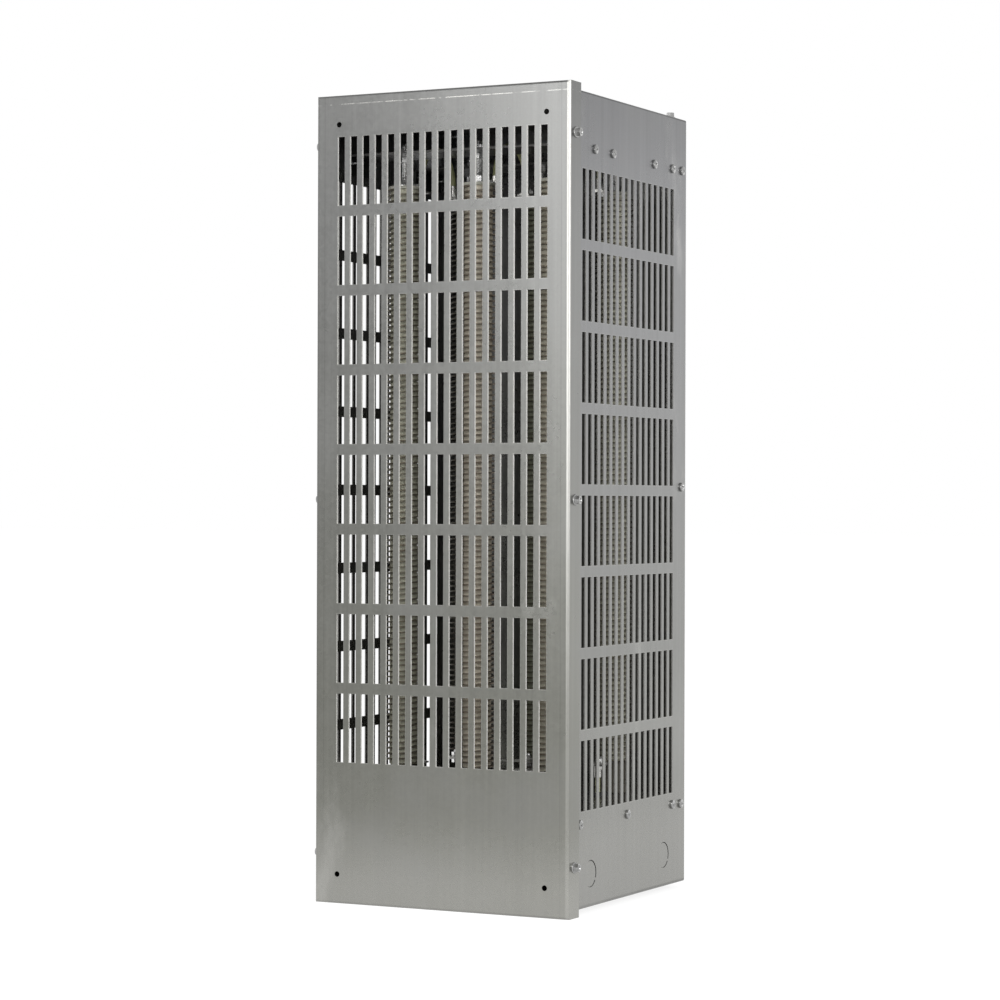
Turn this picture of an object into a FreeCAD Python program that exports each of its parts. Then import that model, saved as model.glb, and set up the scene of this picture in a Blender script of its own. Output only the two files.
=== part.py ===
import FreeCAD, Part
import math
import os
import Sketcher

# Ventilated sheet-metal enclosure with six edge-wound ribbon resistors on tie rods.
# Frame: X to the right, Y to the back, Z up; the origin is at the middle of the box's footprint.
# Inside each piece, Y is measured from the cover's front face and Z from the underside of the case.

# name, value in millimetres (or a plain count), what it is
SIZES = (
    ("cover_width", 254.0, "front cover, outside width"),
    ("cover_height", 727.6, "front cover, outside height"),
    ("cover_sheet", 1.5, "front cover, sheet thickness"),
    ("cover_bend", 2.4, "front cover, outside bend radius"),
    ("cover_flange", 21.5, "depth of the flange bent back round the cover"),
    ("case_depth", 255.0, "cover face to back face"),
    ("case_height", 716.2, "case, outside height"),
    ("case_sheet", 1.2, "case, sheet thickness"),
    ("case_bend", 1.8, "case, outside bend radius"),
    ("side_flange", 12.0, "inward flange round a side panel"),
    ("panel_lip", 15.0, "lip of the top and bottom panels"),
    ("back_flange", 18.0, "forward flange of the back panel"),
    ("lap_gap", 0.2, "clearance between lapped sheets"),
    ("slot_pitch", 12.7, "slot pitch across a grille"),
    ("row_pitch", 71.58, "slot pitch up a grille"),
    ("slot_length", 61.8, "length of one slot"),
    ("slot_rows", 8, "rows of slots"),
    ("front_slot_width", 7.0, "width of a slot in the cover"),
    ("front_slot_columns", 17, "columns of slots in the cover"),
    ("front_slot_top", 684.4, "top of the cover's first slot row above the case floor"),
    ("side_slot_width", 7.9, "width of a slot in a side panel"),
    ("side_slot_columns", 16, "columns of slots in a side panel"),
    ("side_slot_top", 648.3, "top of the side's first slot row above the case floor"),
    ("corner_hole", 5.0, "round hole near each corner of the cover"),
    ("corner_spacing_across", 208.0, "corner holes, spacing across"),
    ("corner_spacing_up", 674.7, "corner holes, spacing up"),
    ("wall_hole", 8.0, "wall-mount hole in the back panel"),
    ("wall_spacing_across", 203.2, "wall-mount holes, spacing across"),
    ("wall_spacing_up", 660.4, "wall-mount holes, spacing up"),
    ("knockout_diameter", 23.8, "sheared outline of a conduit knockout"),
    ("knockout_slit", 1.5, "gap at the rear of a knockout's disc, which lies against its front"),
    ("knockout_tab", 2.0, "uncut tab that holds a knockout"),
    ("knockout_tab_drop", 5.5, "tab below the knockout's middle"),
    ("knockout_height", 29.4, "knockout centre above the case floor"),
    ("knockout_spacing", 158.0, "knockout centres, front to back"),
    ("screw_shank", 4.0, "shank of every sheet-metal screw"),
    ("screw_gap", 0.2, "clearance all round a shank in its hole"),
    ("screw_grip", 9.0, "shank length behind the head"),
    ("screw_head", 8.4, "head of a case screw"),
    ("screw_head_height", 2.6, "height of a case screw's head"),
    ("hex_screw_washer", 9.8, "washer pressed on a hexagon-head screw"),
    ("hex_screw_washer_height", 1.2, "thickness of that washer"),
    ("hex_screw_flats", 7.0, "hexagon-head screw across flats"),
    ("hex_screw_height", 5.2, "height of a hexagon-head screw with its washer"),
    ("cover_screw_setback", 11.5, "cover screws behind the cover face"),
    ("cover_screw_spacing", 319.5, "cover screws, spacing up"),
    ("back_screw_inset", 10.0, "back screws in front of the back face"),
    ("back_screw_spacing", 296.9, "back screws, spacing up"),
    ("back_screw_middle", 370.6, "middle back screw above the case floor"),
    ("top_screw_inset", 8.0, "top screws in from the side"),
    ("top_screw_setback", 19.0, "top screws in front of the back face"),
    ("front_row", 72.5, "front row of elements behind the cover face"),
    ("rear_row", 200.5, "rear row of elements behind the cover face"),
    ("column_pitch", 76.2, "spacing of the elements across"),
    ("coil_diameter", 36.0, "outside of the edge-wound ribbon"),
    ("coil_bore", 23.0, "inside of the edge-wound ribbon"),
    ("coil_bottom", 115.8, "lower end of the ribbon above the case floor"),
    ("coil_length", 526.3, "length of the wound ribbon"),
    ("ribbon_turns", 105, "turns of ribbon on one element"),
    ("ribbon_thickness", 2.6, "thickness of the strip that the ribbon is wound from"),
    ("ribbon_wall", 0.4, "wall at the bore that joins the turns"),
    ("core_gap", 0.3, "clearance between ribbon and core, and core and rod"),
    ("rod_diameter", 6.4, "tie rod"),
    ("rod_stub", 4.0, "rod beyond its end nuts"),
    ("thread_gap", 0.15, "clearance all round a rod or bolt in its nut"),
    ("nut_flats", 11.1, "tie-rod nut across flats"),
    ("nut_height", 5.4, "tie-rod nut"),
    ("top_insulator_diameter", 30.0, "insulating disc on top of an element"),
    ("top_insulator_height", 3.0, "thickness of that disc"),
    ("washer_diameter", 17.0, "washer under the element nut"),
    ("washer_height", 1.2, "thickness of that washer"),
    ("foot_diameter", 30.0, "foot of the lower insulator"),
    ("foot_height", 9.0, "height of that foot"),
    ("foot_neck", 24.0, "neck of the lower insulator"),
    ("bracket_height", 674.4, "top of the upper brackets above the case floor"),
    ("bracket_sheet", 2.0, "upper bracket, sheet thickness"),
    ("bracket_bend", 3.0, "upper bracket, outside bend radius"),
    ("bracket_width", 50.0, "upper bracket, front to back"),
    ("bracket_tab", 18.0, "end tab of an upper bracket"),
    ("bracket_screw_height", 667.3, "bracket screws above the case floor"),
    ("front_bracket_screw_spacing", 37.5, "front bracket screws, front to back"),
    ("rear_bracket_screw_spacing", 41.3, "rear bracket screws, front to back"),
    ("rear_bracket_shift", 1.9, "rear bracket's middle behind its rods"),
    ("shelf_height", 85.8, "top of the lower shelf above the case floor"),
    ("shelf_sheet", 1.5, "lower shelf, sheet thickness"),
    ("shelf_bend", 2.2, "lower shelf, outside bend radius"),
    ("shelf_flange", 18.0, "flange round the lower shelf"),
    ("shelf_screw_height", 74.5, "shelf screws above the case floor"),
    ("shelf_screw_middle", 126.0, "middle shelf screw behind the cover face"),
    ("shelf_screw_spacing", 100.0, "shelf screws, front to back"),
    ("lug_width", 12.0, "terminal lug on the ribbon's end turn"),
    ("lug_sheet", 1.6, "terminal lug, thickness"),
    ("lug_reach", 38.0, "lug's outer end from the element's axis"),
    ("lug_inner_gap", 0.4, "clearance between a lug and its insulator"),
    ("bolt_reach", 23.5, "terminal bolt from the element's axis"),
    ("bolt_shank", 5.0, "terminal bolt"),
    ("bolt_flats", 8.0, "terminal bolt head and nut across flats"),
    ("bolt_head_height", 3.5, "terminal bolt head and nut"),
    ("bolt_tail", 2.0, "terminal bolt beyond its nut"),
    ("wire_reach", 33.0, "wire ends from the element's axis"),
    ("wire_diameter", 4.6, "insulated hook-up wire"),
    ("crimp_diameter", 7.0, "crimp barrel on a wire end"),
    ("crimp_height", 10.0, "length of that barrel"),
    ("crimp_seat", 4.0, "wire inside the barrel"),
    ("ring_sheet", 1.0, "ring terminal, thickness"),
    ("ring_width", 8.0, "ring terminal, width"),
    ("lead_bend", 15.0, "bend radius of a supply lead"),
    ("lead_clamp_gap", 0.3, "clearance between a lead's end and its clamp screw"),
    ("grommet_diameter", 20.0, "shelf grommet"),
    ("grommet_collar", 3.0, "thickness of a grommet's collar"),
    ("grommet_wall", 2.0, "rubber left inside the shelf's hole"),
    ("grommet_gap", 0.15, "clearance of a wire in its grommet and of the grommet in its hole"),
    ("block_ear", 8.0, "end of the terminal block beyond its last wall"),
    ("block_depth", 34.0, "terminal block, front to back"),
    ("block_height", 16.0, "terminal block up to its clamps"),
    ("block_setback", 50.0, "terminal block's middle behind the cover face"),
    ("pole_pitch", 38.0, "spacing of the block's three poles"),
    ("barrier_width", 3.0, "wall between two poles"),
    ("barrier_height", 13.0, "height of that wall"),
    ("plate_sheet", 1.5, "clamp plate of a pole"),
    ("plate_width", 20.0, "width of a clamp plate"),
    ("plate_inset", 0.5, "clamp plate in from the block's edge"),
    ("clamp_screw", 7.0, "head of a clamp screw"),
    ("clamp_screw_height", 4.0, "height of that head"),
    ("clamp_screw_spread", 17.0, "a pole's two clamp screws, front to back"),
    ("ground_diameter", 6.0, "ground stud"),
    ("ground_height", 20.0, "ground stud above the floor"),
    ("ground_flats", 10.0, "ground nut across flats"),
    ("ground_nut_height", 5.0, "ground nut"),
    ("ground_washer", 13.0, "washer under the ground nut"),
    ("ground_offset", 85.0, "ground stud beside the box's middle"),
)

# Places that several pieces share, each worked out from the sizes above.
SIDE_OUT = "(Sizes.cover_width / 2 - Sizes.cover_sheet - Sizes.lap_gap)"
SIDE_IN = f"({SIDE_OUT} - Sizes.case_sheet)"
INNER_HALF = f"({SIDE_IN} - Sizes.lap_gap)"
CASE_FRONT = "(Sizes.cover_sheet + Sizes.lap_gap)"
LID_FRONT = f"({CASE_FRONT} + Sizes.case_sheet + Sizes.lap_gap)"
FLOOR = "(2 * Sizes.case_sheet)"
CASE_MIDDLE = "(Sizes.case_depth / 2)"
COIL_TOP = "(Sizes.coil_bottom + Sizes.coil_length)"
WASHER_BASE = f"({COIL_TOP} + Sizes.top_insulator_height)"
ROW_SPACING = "(Sizes.rear_row - Sizes.front_row)"
ROW_MIDDLE = "((Sizes.rear_row + Sizes.front_row) / 2)"
SCREW_HOLE = "(Sizes.screw_shank + 2 * Sizes.screw_gap)"
ROD_HOLE = "(Sizes.rod_diameter + 2 * Sizes.core_gap)"
BOLT_HOLE = "(Sizes.bolt_shank + 2 * Sizes.thread_gap)"
WIRE_RADIUS = "(Sizes.wire_diameter / 2)"
GROMMET_BORE = "(Sizes.wire_diameter + 2 * Sizes.grommet_gap)"
GROMMET_NECK = f"({GROMMET_BORE} + 2 * Sizes.grommet_wall)"
SHELF_UNDER = "(Sizes.shelf_height - Sizes.shelf_sheet)"
CLAMP_LEVEL = f"({FLOOR} + Sizes.block_height + Sizes.plate_sheet)"
LEAD_BARREL_END = "(Sizes.coil_bottom - 2 * Sizes.lug_sheet - Sizes.crimp_height)"
FRONT_WIRE = "(Sizes.front_row + Sizes.wire_reach)"
REAR_WIRE = "(Sizes.rear_row - Sizes.wire_reach)"

PLANES = {"front": "XZ_Plane", "side": "YZ_Plane", "top": "XY_Plane"}

document = FreeCAD.newDocument("BrakingResistor")
pieces = []


def fill_sheet():
    sheet = document.addObject("Spreadsheet::Sheet", "Sizes")
    for row, (name, value, note) in enumerate(SIZES, start=1):
        sheet.set(f"A{row}", name)
        sheet.set(f"B{row}", str(value))
        sheet.set(f"C{row}", note)
        sheet.setAlias(f"B{row}", name)
    document.recompute()
    return sheet


# Helpers for sketches and features

def number(owner, formula):
    result = owner.evalExpression(formula)
    return float(getattr(result, "Value", result))


def new_body(label, x="0", y="0", z="0"):
    body = document.addObject("PartDesign::Body", label)
    body.Label = label
    body.AllowCompound = True
    body.setExpression(".Placement.Base.x", x)
    body.setExpression(".Placement.Base.y", f"{y} - {CASE_MIDDLE}")
    body.setExpression(".Placement.Base.z", f"{z} + (Sizes.cover_height - Sizes.case_height) / 2")
    pieces.append(body)
    return body


def origin_plane(body, side):
    role = PLANES[side]
    return next(feature for feature in body.Origin.OriginFeatures if feature.Role == role)


def new_sketch(body, name, side, at="0"):
    """Opens a sketch on a plane of the body, shifted to the place `at` along X, Y or Z."""
    sketch = body.newObject("Sketcher::SketchObject", name)
    sketch.AttachmentSupport = [(origin_plane(body, side), "")]
    sketch.MapMode = "FlatFace"
    shift = f"-({at})" if side == "front" else at
    sketch.setExpression(".AttachmentOffset.Base.z", shift)
    return sketch


def add_size(sketch, constraint, formula):
    index = sketch.addConstraint(constraint)
    sketch.setExpression(f"Constraints[{index}]", formula)


def locate_point(sketch, geometry, point, u, v):
    for kind, formula in (("DistanceX", u), ("DistanceY", v)):
        place = Sketcher.Constraint(kind, -1, 1, geometry, point, number(sketch, formula))
        add_size(sketch, place, formula)


def add_rectangle(sketch, u, v, width, height):
    """Draws a rectangle by its middle (u, v), width and height, all formulas."""
    half_width = number(sketch, width) / 2
    half_height = number(sketch, height) / 2
    middle = FreeCAD.Vector(number(sketch, u), number(sketch, v), 0)
    signs = ((-1, -1), (1, -1), (1, 1), (-1, 1))
    corners = [middle + FreeCAD.Vector(a * half_width, b * half_height, 0) for a, b in signs]
    ends = corners[1:] + corners[:1]
    first = sketch.GeometryCount
    for start, end in zip(corners, ends):
        sketch.addGeometry(Part.LineSegment(start, end), False)
    for step in range(4):
        line, following = first + step, first + (step + 1) % 4
        sketch.addConstraint(Sketcher.Constraint("Coincident", line, 2, following, 1))
        sketch.addConstraint(Sketcher.Constraint("Vertical" if step % 2 else "Horizontal", line))
    across = Sketcher.Constraint("DistanceX", first, 1, first, 2, 2 * half_width)
    add_size(sketch, across, width)
    upward = Sketcher.Constraint("DistanceY", first + 1, 1, first + 1, 2, 2 * half_height)
    add_size(sketch, upward, height)
    locate_point(sketch, first, 1, f"({u}) - ({width}) / 2", f"({v}) - ({height}) / 2")


def add_circle(sketch, u, v, diameter):
    middle = FreeCAD.Vector(number(sketch, u), number(sketch, v), 0)
    circle = Part.Circle(middle, FreeCAD.Vector(0, 0, 1), number(sketch, diameter) / 2)
    index = sketch.addGeometry(circle, False)
    size = Sketcher.Constraint("Diameter", index, number(sketch, diameter))
    add_size(sketch, size, diameter)
    locate_point(sketch, index, 3, u, v)
    return index


def add_hexagon(sketch, u, v, flats):
    """Draws a regular hexagon, two flats level, inside a construction circle."""
    corner_circle = f"({flats}) / cos(30 deg)"
    ring = add_circle(sketch, u, v, corner_circle)
    sketch.setConstruction(ring, True)
    radius = number(sketch, corner_circle) / 2
    middle = FreeCAD.Vector(number(sketch, u), number(sketch, v), 0)
    turns = [math.radians(60 * step) for step in range(6)]
    corners = [middle + FreeCAD.Vector(math.cos(t), math.sin(t), 0) * radius for t in turns]
    first = sketch.GeometryCount
    for start, end in zip(corners, corners[1:] + corners[:1]):
        sketch.addGeometry(Part.LineSegment(start, end), False)
    for step in range(6):
        line, following = first + step, first + (step + 1) % 6
        sketch.addConstraint(Sketcher.Constraint("Coincident", line, 2, following, 1))
        sketch.addConstraint(Sketcher.Constraint("PointOnObject", line, 1, ring))
    for line in range(first + 1, first + 6):
        sketch.addConstraint(Sketcher.Constraint("Equal", first, line))
    sketch.addConstraint(Sketcher.Constraint("Horizontal", first + 1))


def pad(body, sketch, length, reverse=False, taper=0.0):
    feature = body.newObject("PartDesign::Pad", sketch.Name + "Pad")
    feature.Profile = sketch
    feature.setExpression("Length", length)
    feature.Reversed = reverse
    feature.TaperAngle = taper
    document.recompute()
    return feature


def revolve(body, sketch, axis, angle):
    """Sweeps the sketch about one of its own axes, the way that a bent wire turns here."""
    feature = body.newObject("PartDesign::Revolution", sketch.Name + "Revolution")
    feature.Profile = sketch
    feature.ReferenceAxis = (sketch, [axis])
    feature.Angle = angle
    feature.Reversed = True
    document.recompute()
    return feature


def pocket(body, sketch, length=None, reverse=False, both_ways=False):
    """Cuts the sketch to a depth, or right through where no depth is given."""
    before = body.Shape.Volume
    feature = body.newObject("PartDesign::Pocket", sketch.Name + "Pocket")
    feature.Profile = sketch
    if length is None:
        feature.Type = "ThroughAll"
    else:
        feature.setExpression("Length", length)
    feature.Reversed = reverse
    if both_ways:
        feature.SideType = "Symmetric"
    document.recompute()
    if body.Shape.Volume >= before:
        raise RuntimeError(f"{feature.Name} cuts nothing")
    return feature


def round_edges(body, name, radius, chosen):
    """Rounds the edges of the body's newest feature that the test `chosen` picks."""
    base = body.Tip
    names = [f"Edge{i}" for i, edge in enumerate(base.Shape.Edges, start=1) if chosen(edge)]
    if not names:
        raise RuntimeError(f"{name} finds no edge")
    feature = body.newObject("PartDesign::Fillet", name)
    feature.Base = (base, names)
    feature.setExpression("Radius", radius)
    document.recompute()
    return feature


def lies_at(edge, axis, place):
    """Tells whether a whole edge lies at one place along an axis (0, 1 or 2)."""
    box = edge.BoundBox
    low = (box.XMin, box.YMin, box.ZMin)[axis]
    high = (box.XMax, box.YMax, box.ZMax)[axis]
    return abs(low - place) < 0.01 and abs(high - place) < 0.01


def repeat(body, originals, sketch, across, up=None):
    """Repeats features along the sketch's axes; across and up are (count, spacing) formulas."""
    feature = body.newObject("PartDesign::LinearPattern", sketch.Name + "Pattern")
    feature.Originals = originals
    feature.Direction = (sketch, ["H_Axis"])
    feature.setExpression("Occurrences", across[0])
    feature.setExpression("Length", f"({across[0]} - 1) * {across[1]}")
    if up:
        feature.Direction2 = (sketch, ["V_Axis"])
        feature.setExpression("Occurrences2", up[0])
        feature.setExpression("Length2", f"({up[0]} - 1) * {up[1]}")
    body.Tip = feature
    document.recompute()
    return feature


def repeat_at_elements(body, originals, sketch):
    return repeat(body, originals, sketch, ("3", "Sizes.column_pitch"), ("2", ROW_SPACING))


def mirror_to_left(body, originals):
    feature = body.newObject("PartDesign::Mirrored", "LeftSide")
    feature.Originals = originals
    feature.MirrorPlane = (origin_plane(body, "side"), [""])
    body.Tip = feature
    document.recompute()
    return feature


# Holes that line up through several sheets: each list holds (Y, Z) formulas on a side wall

def three_up(setback, middle, spacing):
    return [(setback, f"{middle} + ({step}) * {spacing}") for step in (-1, 0, 1)]


COVER_SCREWS = three_up("Sizes.cover_screw_setback", "Sizes.case_height / 2",
                        "Sizes.cover_screw_spacing")
BACK_SCREWS = three_up("Sizes.case_depth - Sizes.back_screw_inset", "Sizes.back_screw_middle",
                       "Sizes.back_screw_spacing")
SHELF_SCREWS = [(f"Sizes.shelf_screw_middle + ({step}) * Sizes.shelf_screw_spacing",
                 "Sizes.shelf_screw_height") for step in (-1, 0, 1)]
FRONT_BRACKET_SCREWS = [(f"Sizes.front_row + ({step}) * Sizes.front_bracket_screw_spacing / 2",
                         "Sizes.bracket_screw_height") for step in (-1, 1)]
REAR_BRACKET_SCREWS = [("Sizes.rear_row + Sizes.rear_bracket_shift"
                        f" + ({step}) * Sizes.rear_bracket_screw_spacing / 2",
                        "Sizes.bracket_screw_height") for step in (-1, 1)]
TOP_SCREWS = [(f"({hand}) * ({SIDE_OUT} - Sizes.top_screw_inset)",
               "Sizes.case_depth - Sizes.top_screw_setback") for hand in (-1, 1)]


def drill_sides(body, name, places):
    """Drills the screw holes at these places through both side walls of a piece."""
    sketch = new_sketch(body, name, "side")
    for y, z in places:
        add_circle(sketch, y, z, SCREW_HOLE)
    pocket(body, sketch, both_ways=True)


# Enclosure

def cut_grille(body, sketch, length, reverse, columns, pitch):
    """Cuts the first slot drawn in the sketch and repeats it across and down the sheet."""
    first_slot = pocket(body, sketch, length, reverse)
    grille = repeat(body, [first_slot], sketch, (columns, pitch), ("Sizes.slot_rows", "Sizes.row_pitch"))
    grille.Reversed2 = True
    document.recompute()


def make_front_cover():
    body = new_body("front_cover")
    outline = new_sketch(body, "CoverOutline", "front")
    add_rectangle(outline, "0", "Sizes.case_height / 2", "Sizes.cover_width", "Sizes.cover_height")
    pad(body, outline, "Sizes.cover_flange", reverse=True)
    round_edges(body, "CoverBends", "Sizes.cover_bend", lambda edge: lies_at(edge, 1, 0))
    hollow = new_sketch(body, "CoverHollow", "front", "Sizes.cover_flange")
    add_rectangle(hollow, "0", "Sizes.case_height / 2",
                  "Sizes.cover_width - 2 * Sizes.cover_sheet",
                  "Sizes.cover_height - 2 * Sizes.cover_sheet")
    pocket(body, hollow, "Sizes.cover_flange - Sizes.cover_sheet", reverse=True)
    inside = number(body, "Sizes.cover_sheet")
    round_edges(body, "CoverInnerBends", "Sizes.cover_bend - Sizes.cover_sheet",
                lambda edge: lies_at(edge, 1, inside))
    slot = new_sketch(body, "CoverSlot", "front")
    add_rectangle(slot, "-(Sizes.front_slot_columns - 1) / 2 * Sizes.slot_pitch",
                  "Sizes.front_slot_top - Sizes.slot_length / 2",
                  "Sizes.front_slot_width", "Sizes.slot_length")
    cut_grille(body, slot, "2 * Sizes.cover_sheet", False, "Sizes.front_slot_columns", "Sizes.slot_pitch")
    corners = new_sketch(body, "CoverCornerHoles", "front")
    for across in (-1, 1):
        for up in (-1, 1):
            add_circle(corners, f"({across}) * Sizes.corner_spacing_across / 2",
                       f"Sizes.case_height / 2 + ({up}) * Sizes.corner_spacing_up / 2",
                       "Sizes.corner_hole")
    pocket(body, corners, "2 * Sizes.cover_sheet")
    drill_sides(body, "CoverScrewHoles", COVER_SCREWS)


def make_side_panel(label, hand):
    """Makes a side panel with its inward flanges; hand is 1 on the right and -1 on the left."""
    body = new_body(label)
    right = hand > 0
    outline = new_sketch(body, "SideOutline", "side", f"({hand}) * {SIDE_OUT}")
    add_rectangle(outline, f"({CASE_FRONT} + Sizes.case_depth) / 2", "Sizes.case_height / 2",
                  f"Sizes.case_depth - {CASE_FRONT}", "Sizes.case_height")
    pad(body, outline, "Sizes.side_flange", reverse=right)
    face = hand * number(body, SIDE_OUT)
    back = number(body, "Sizes.case_depth")
    round_edges(body, "SideBends", "Sizes.case_bend",
                lambda edge: lies_at(edge, 0, face) and not lies_at(edge, 1, back))
    hollow = new_sketch(body, "SideHollow", "side", f"({hand}) * ({SIDE_OUT} - Sizes.side_flange)")
    add_rectangle(hollow, f"({CASE_FRONT} + Sizes.case_sheet + Sizes.case_depth + Sizes.side_flange) / 2",
                  "Sizes.case_height / 2",
                  f"Sizes.case_depth + Sizes.side_flange - {CASE_FRONT} - Sizes.case_sheet",
                  "Sizes.case_height - 2 * Sizes.case_sheet")
    pocket(body, hollow, "Sizes.side_flange - Sizes.case_sheet", reverse=right)
    slot = new_sketch(body, "SideSlot", "side", f"({hand}) * {SIDE_OUT}")
    add_rectangle(slot, f"{CASE_MIDDLE} - (Sizes.side_slot_columns - 1) / 2 * Sizes.slot_pitch",
                  "Sizes.side_slot_top - Sizes.slot_length / 2",
                  "Sizes.side_slot_width", "Sizes.slot_length")
    cut_grille(body, slot, "2 * Sizes.case_sheet", not right, "Sizes.side_slot_columns",
               "Sizes.slot_pitch")
    drill_sides(body, "SideScrewHoles", COVER_SCREWS + BACK_SCREWS + SHELF_SCREWS
                + FRONT_BRACKET_SCREWS + REAR_BRACKET_SCREWS)
    top_hole = new_sketch(body, "TopScrewHole", "top", "Sizes.case_height")
    x, y = TOP_SCREWS[1 if right else 0]
    add_circle(top_hole, x, y, SCREW_HOLE)
    pocket(body, top_hole, "3 * Sizes.case_sheet")
    cut_knockouts(body, hand)


def cut_knockouts(body, hand):
    """Shears each knockout and presses its disc back, which leaves a crescent gap at its rear."""
    outer = f"({hand}) * {SIDE_OUT}"
    holes = new_sketch(body, "KnockoutHoles", "side", outer)
    discs = new_sketch(body, "KnockoutDiscs", "side", outer)
    tabs = new_sketch(body, "KnockoutTabs", "side", outer)
    for step in (-1, 1):
        middle = f"{CASE_MIDDLE} + ({step}) * Sizes.knockout_spacing / 2"
        add_circle(holes, middle, "Sizes.knockout_height", "Sizes.knockout_diameter")
        add_circle(discs, f"{middle} - 2 * Sizes.knockout_slit / 3", "Sizes.knockout_height",
                   "Sizes.knockout_diameter - 2 * Sizes.knockout_slit / 3")
        add_rectangle(tabs, f"{middle} + Sizes.knockout_diameter / 4",
                      "Sizes.knockout_height - Sizes.knockout_tab_drop",
                      "Sizes.knockout_diameter / 2", "Sizes.knockout_tab")
    pocket(body, holes, "2 * Sizes.case_sheet", reverse=hand < 0)
    pad(body, discs, "Sizes.case_sheet", reverse=hand > 0)
    pad(body, tabs, "Sizes.case_sheet", reverse=hand > 0)


def make_lid(label, at_top):
    """Makes the top or bottom panel behind the sides' flanges, with a lip at its front and back."""
    body = new_body(label)
    outer = "Sizes.case_height - Sizes.case_sheet" if at_top else "Sizes.case_sheet"
    inner = f"Sizes.case_height - {FLOOR}" if at_top else FLOOR
    sheet = new_sketch(body, "LidSheet", "top", outer)
    add_rectangle(sheet, "0", f"({LID_FRONT} + Sizes.case_depth) / 2", f"2 * {INNER_HALF}",
                  f"Sizes.case_depth - {LID_FRONT}")
    pad(body, sheet, "Sizes.case_sheet", reverse=at_top)
    lips = new_sketch(body, "LidLips", "top", inner)
    rear_lip = "Sizes.case_depth - 1.5 * Sizes.case_sheet - Sizes.lap_gap"
    for y in (f"{LID_FRONT} + Sizes.case_sheet / 2", rear_lip):
        add_rectangle(lips, "0", y, f"2 * ({SIDE_OUT} - Sizes.side_flange - Sizes.case_sheet)",
                      "Sizes.case_sheet")
    pad(body, lips, "Sizes.panel_lip", reverse=at_top)
    if at_top:
        holes = new_sketch(body, "TopScrewHoles", "top", outer)
        for x, y in TOP_SCREWS:
            add_circle(holes, x, y, SCREW_HOLE)
        pocket(body, holes, "2 * Sizes.case_sheet")


def make_back_panel():
    body = new_body("back_panel")
    height = "(Sizes.case_height - 4 * Sizes.case_sheet - 2 * Sizes.lap_gap)"
    outline = new_sketch(body, "BackOutline", "front", "Sizes.case_depth")
    add_rectangle(outline, "0", "Sizes.case_height / 2", f"2 * {INNER_HALF}", height)
    pad(body, outline, "Sizes.back_flange")
    face = number(body, "Sizes.case_depth")
    half = number(body, INNER_HALF)
    round_edges(body, "BackBends", "Sizes.case_bend", lambda edge: lies_at(edge, 1, face)
                and (lies_at(edge, 0, half) or lies_at(edge, 0, -half)))
    hollow = new_sketch(body, "BackHollow", "front", "Sizes.case_depth - Sizes.back_flange")
    add_rectangle(hollow, "0", "Sizes.case_height / 2", f"2 * ({INNER_HALF} - Sizes.case_sheet)",
                  "Sizes.case_height")
    pocket(body, hollow, "Sizes.back_flange - Sizes.case_sheet")
    holes = new_sketch(body, "WallHoles", "front", "Sizes.case_depth")
    for across in (-1, 1):
        for up in (-1, 1):
            add_circle(holes, f"({across}) * Sizes.wall_spacing_across / 2",
                       f"Sizes.case_height / 2 + ({up}) * Sizes.wall_spacing_up / 2",
                       "Sizes.wall_hole")
    pocket(body, holes, "2 * Sizes.case_sheet", reverse=True)
    drill_sides(body, "BackScrewHoles", BACK_SCREWS)


# Supports inside the case

def make_tray(body, top, y_middle, depth, flange, sheet, bend):
    """Makes a sheet whose four edges are bent down, as wide as the inside of the case."""
    outline = new_sketch(body, "TrayOutline", "top", top)
    add_rectangle(outline, "0", y_middle, f"2 * {INNER_HALF}", depth)
    pad(body, outline, flange, reverse=True)
    level = number(body, top)
    round_edges(body, "TrayBends", bend, lambda edge: lies_at(edge, 2, level))
    hollow = new_sketch(body, "TrayHollow", "top", f"{top} - {flange}")
    add_rectangle(hollow, "0", y_middle, f"2 * ({INNER_HALF} - {sheet})", f"{depth} - 2 * {sheet}")
    pocket(body, hollow, f"{flange} - {sheet}", reverse=True)


def make_upper_bracket(label, row, shift, screws):
    """Makes a flat strap with a tab bent down at each end."""
    body = new_body(label)
    outline = new_sketch(body, "StrapOutline", "top", "Sizes.bracket_height")
    add_rectangle(outline, "0", f"({row} + {shift})", f"2 * {INNER_HALF}", "Sizes.bracket_width")
    pad(body, outline, "Sizes.bracket_tab", reverse=True)
    level = number(body, "Sizes.bracket_height")
    half = number(body, INNER_HALF)
    round_edges(body, "StrapBends", "Sizes.bracket_bend", lambda edge: lies_at(edge, 2, level)
                and (lies_at(edge, 0, half) or lies_at(edge, 0, -half)))
    hollow = new_sketch(body, "StrapHollow", "front")
    add_rectangle(hollow, "0", "Sizes.bracket_height - (Sizes.bracket_sheet + Sizes.bracket_tab) / 2",
                  f"2 * ({INNER_HALF} - Sizes.bracket_sheet)", "Sizes.bracket_tab - Sizes.bracket_sheet")
    pocket(body, hollow, both_ways=True)
    holes = new_sketch(body, "RodHoles", "top", "Sizes.bracket_height")
    for column in (-1, 0, 1):
        add_circle(holes, f"({column}) * Sizes.column_pitch", row, ROD_HOLE)
    pocket(body, holes, "2 * Sizes.bracket_sheet")
    drill_sides(body, "TabHoles", screws)


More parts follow.
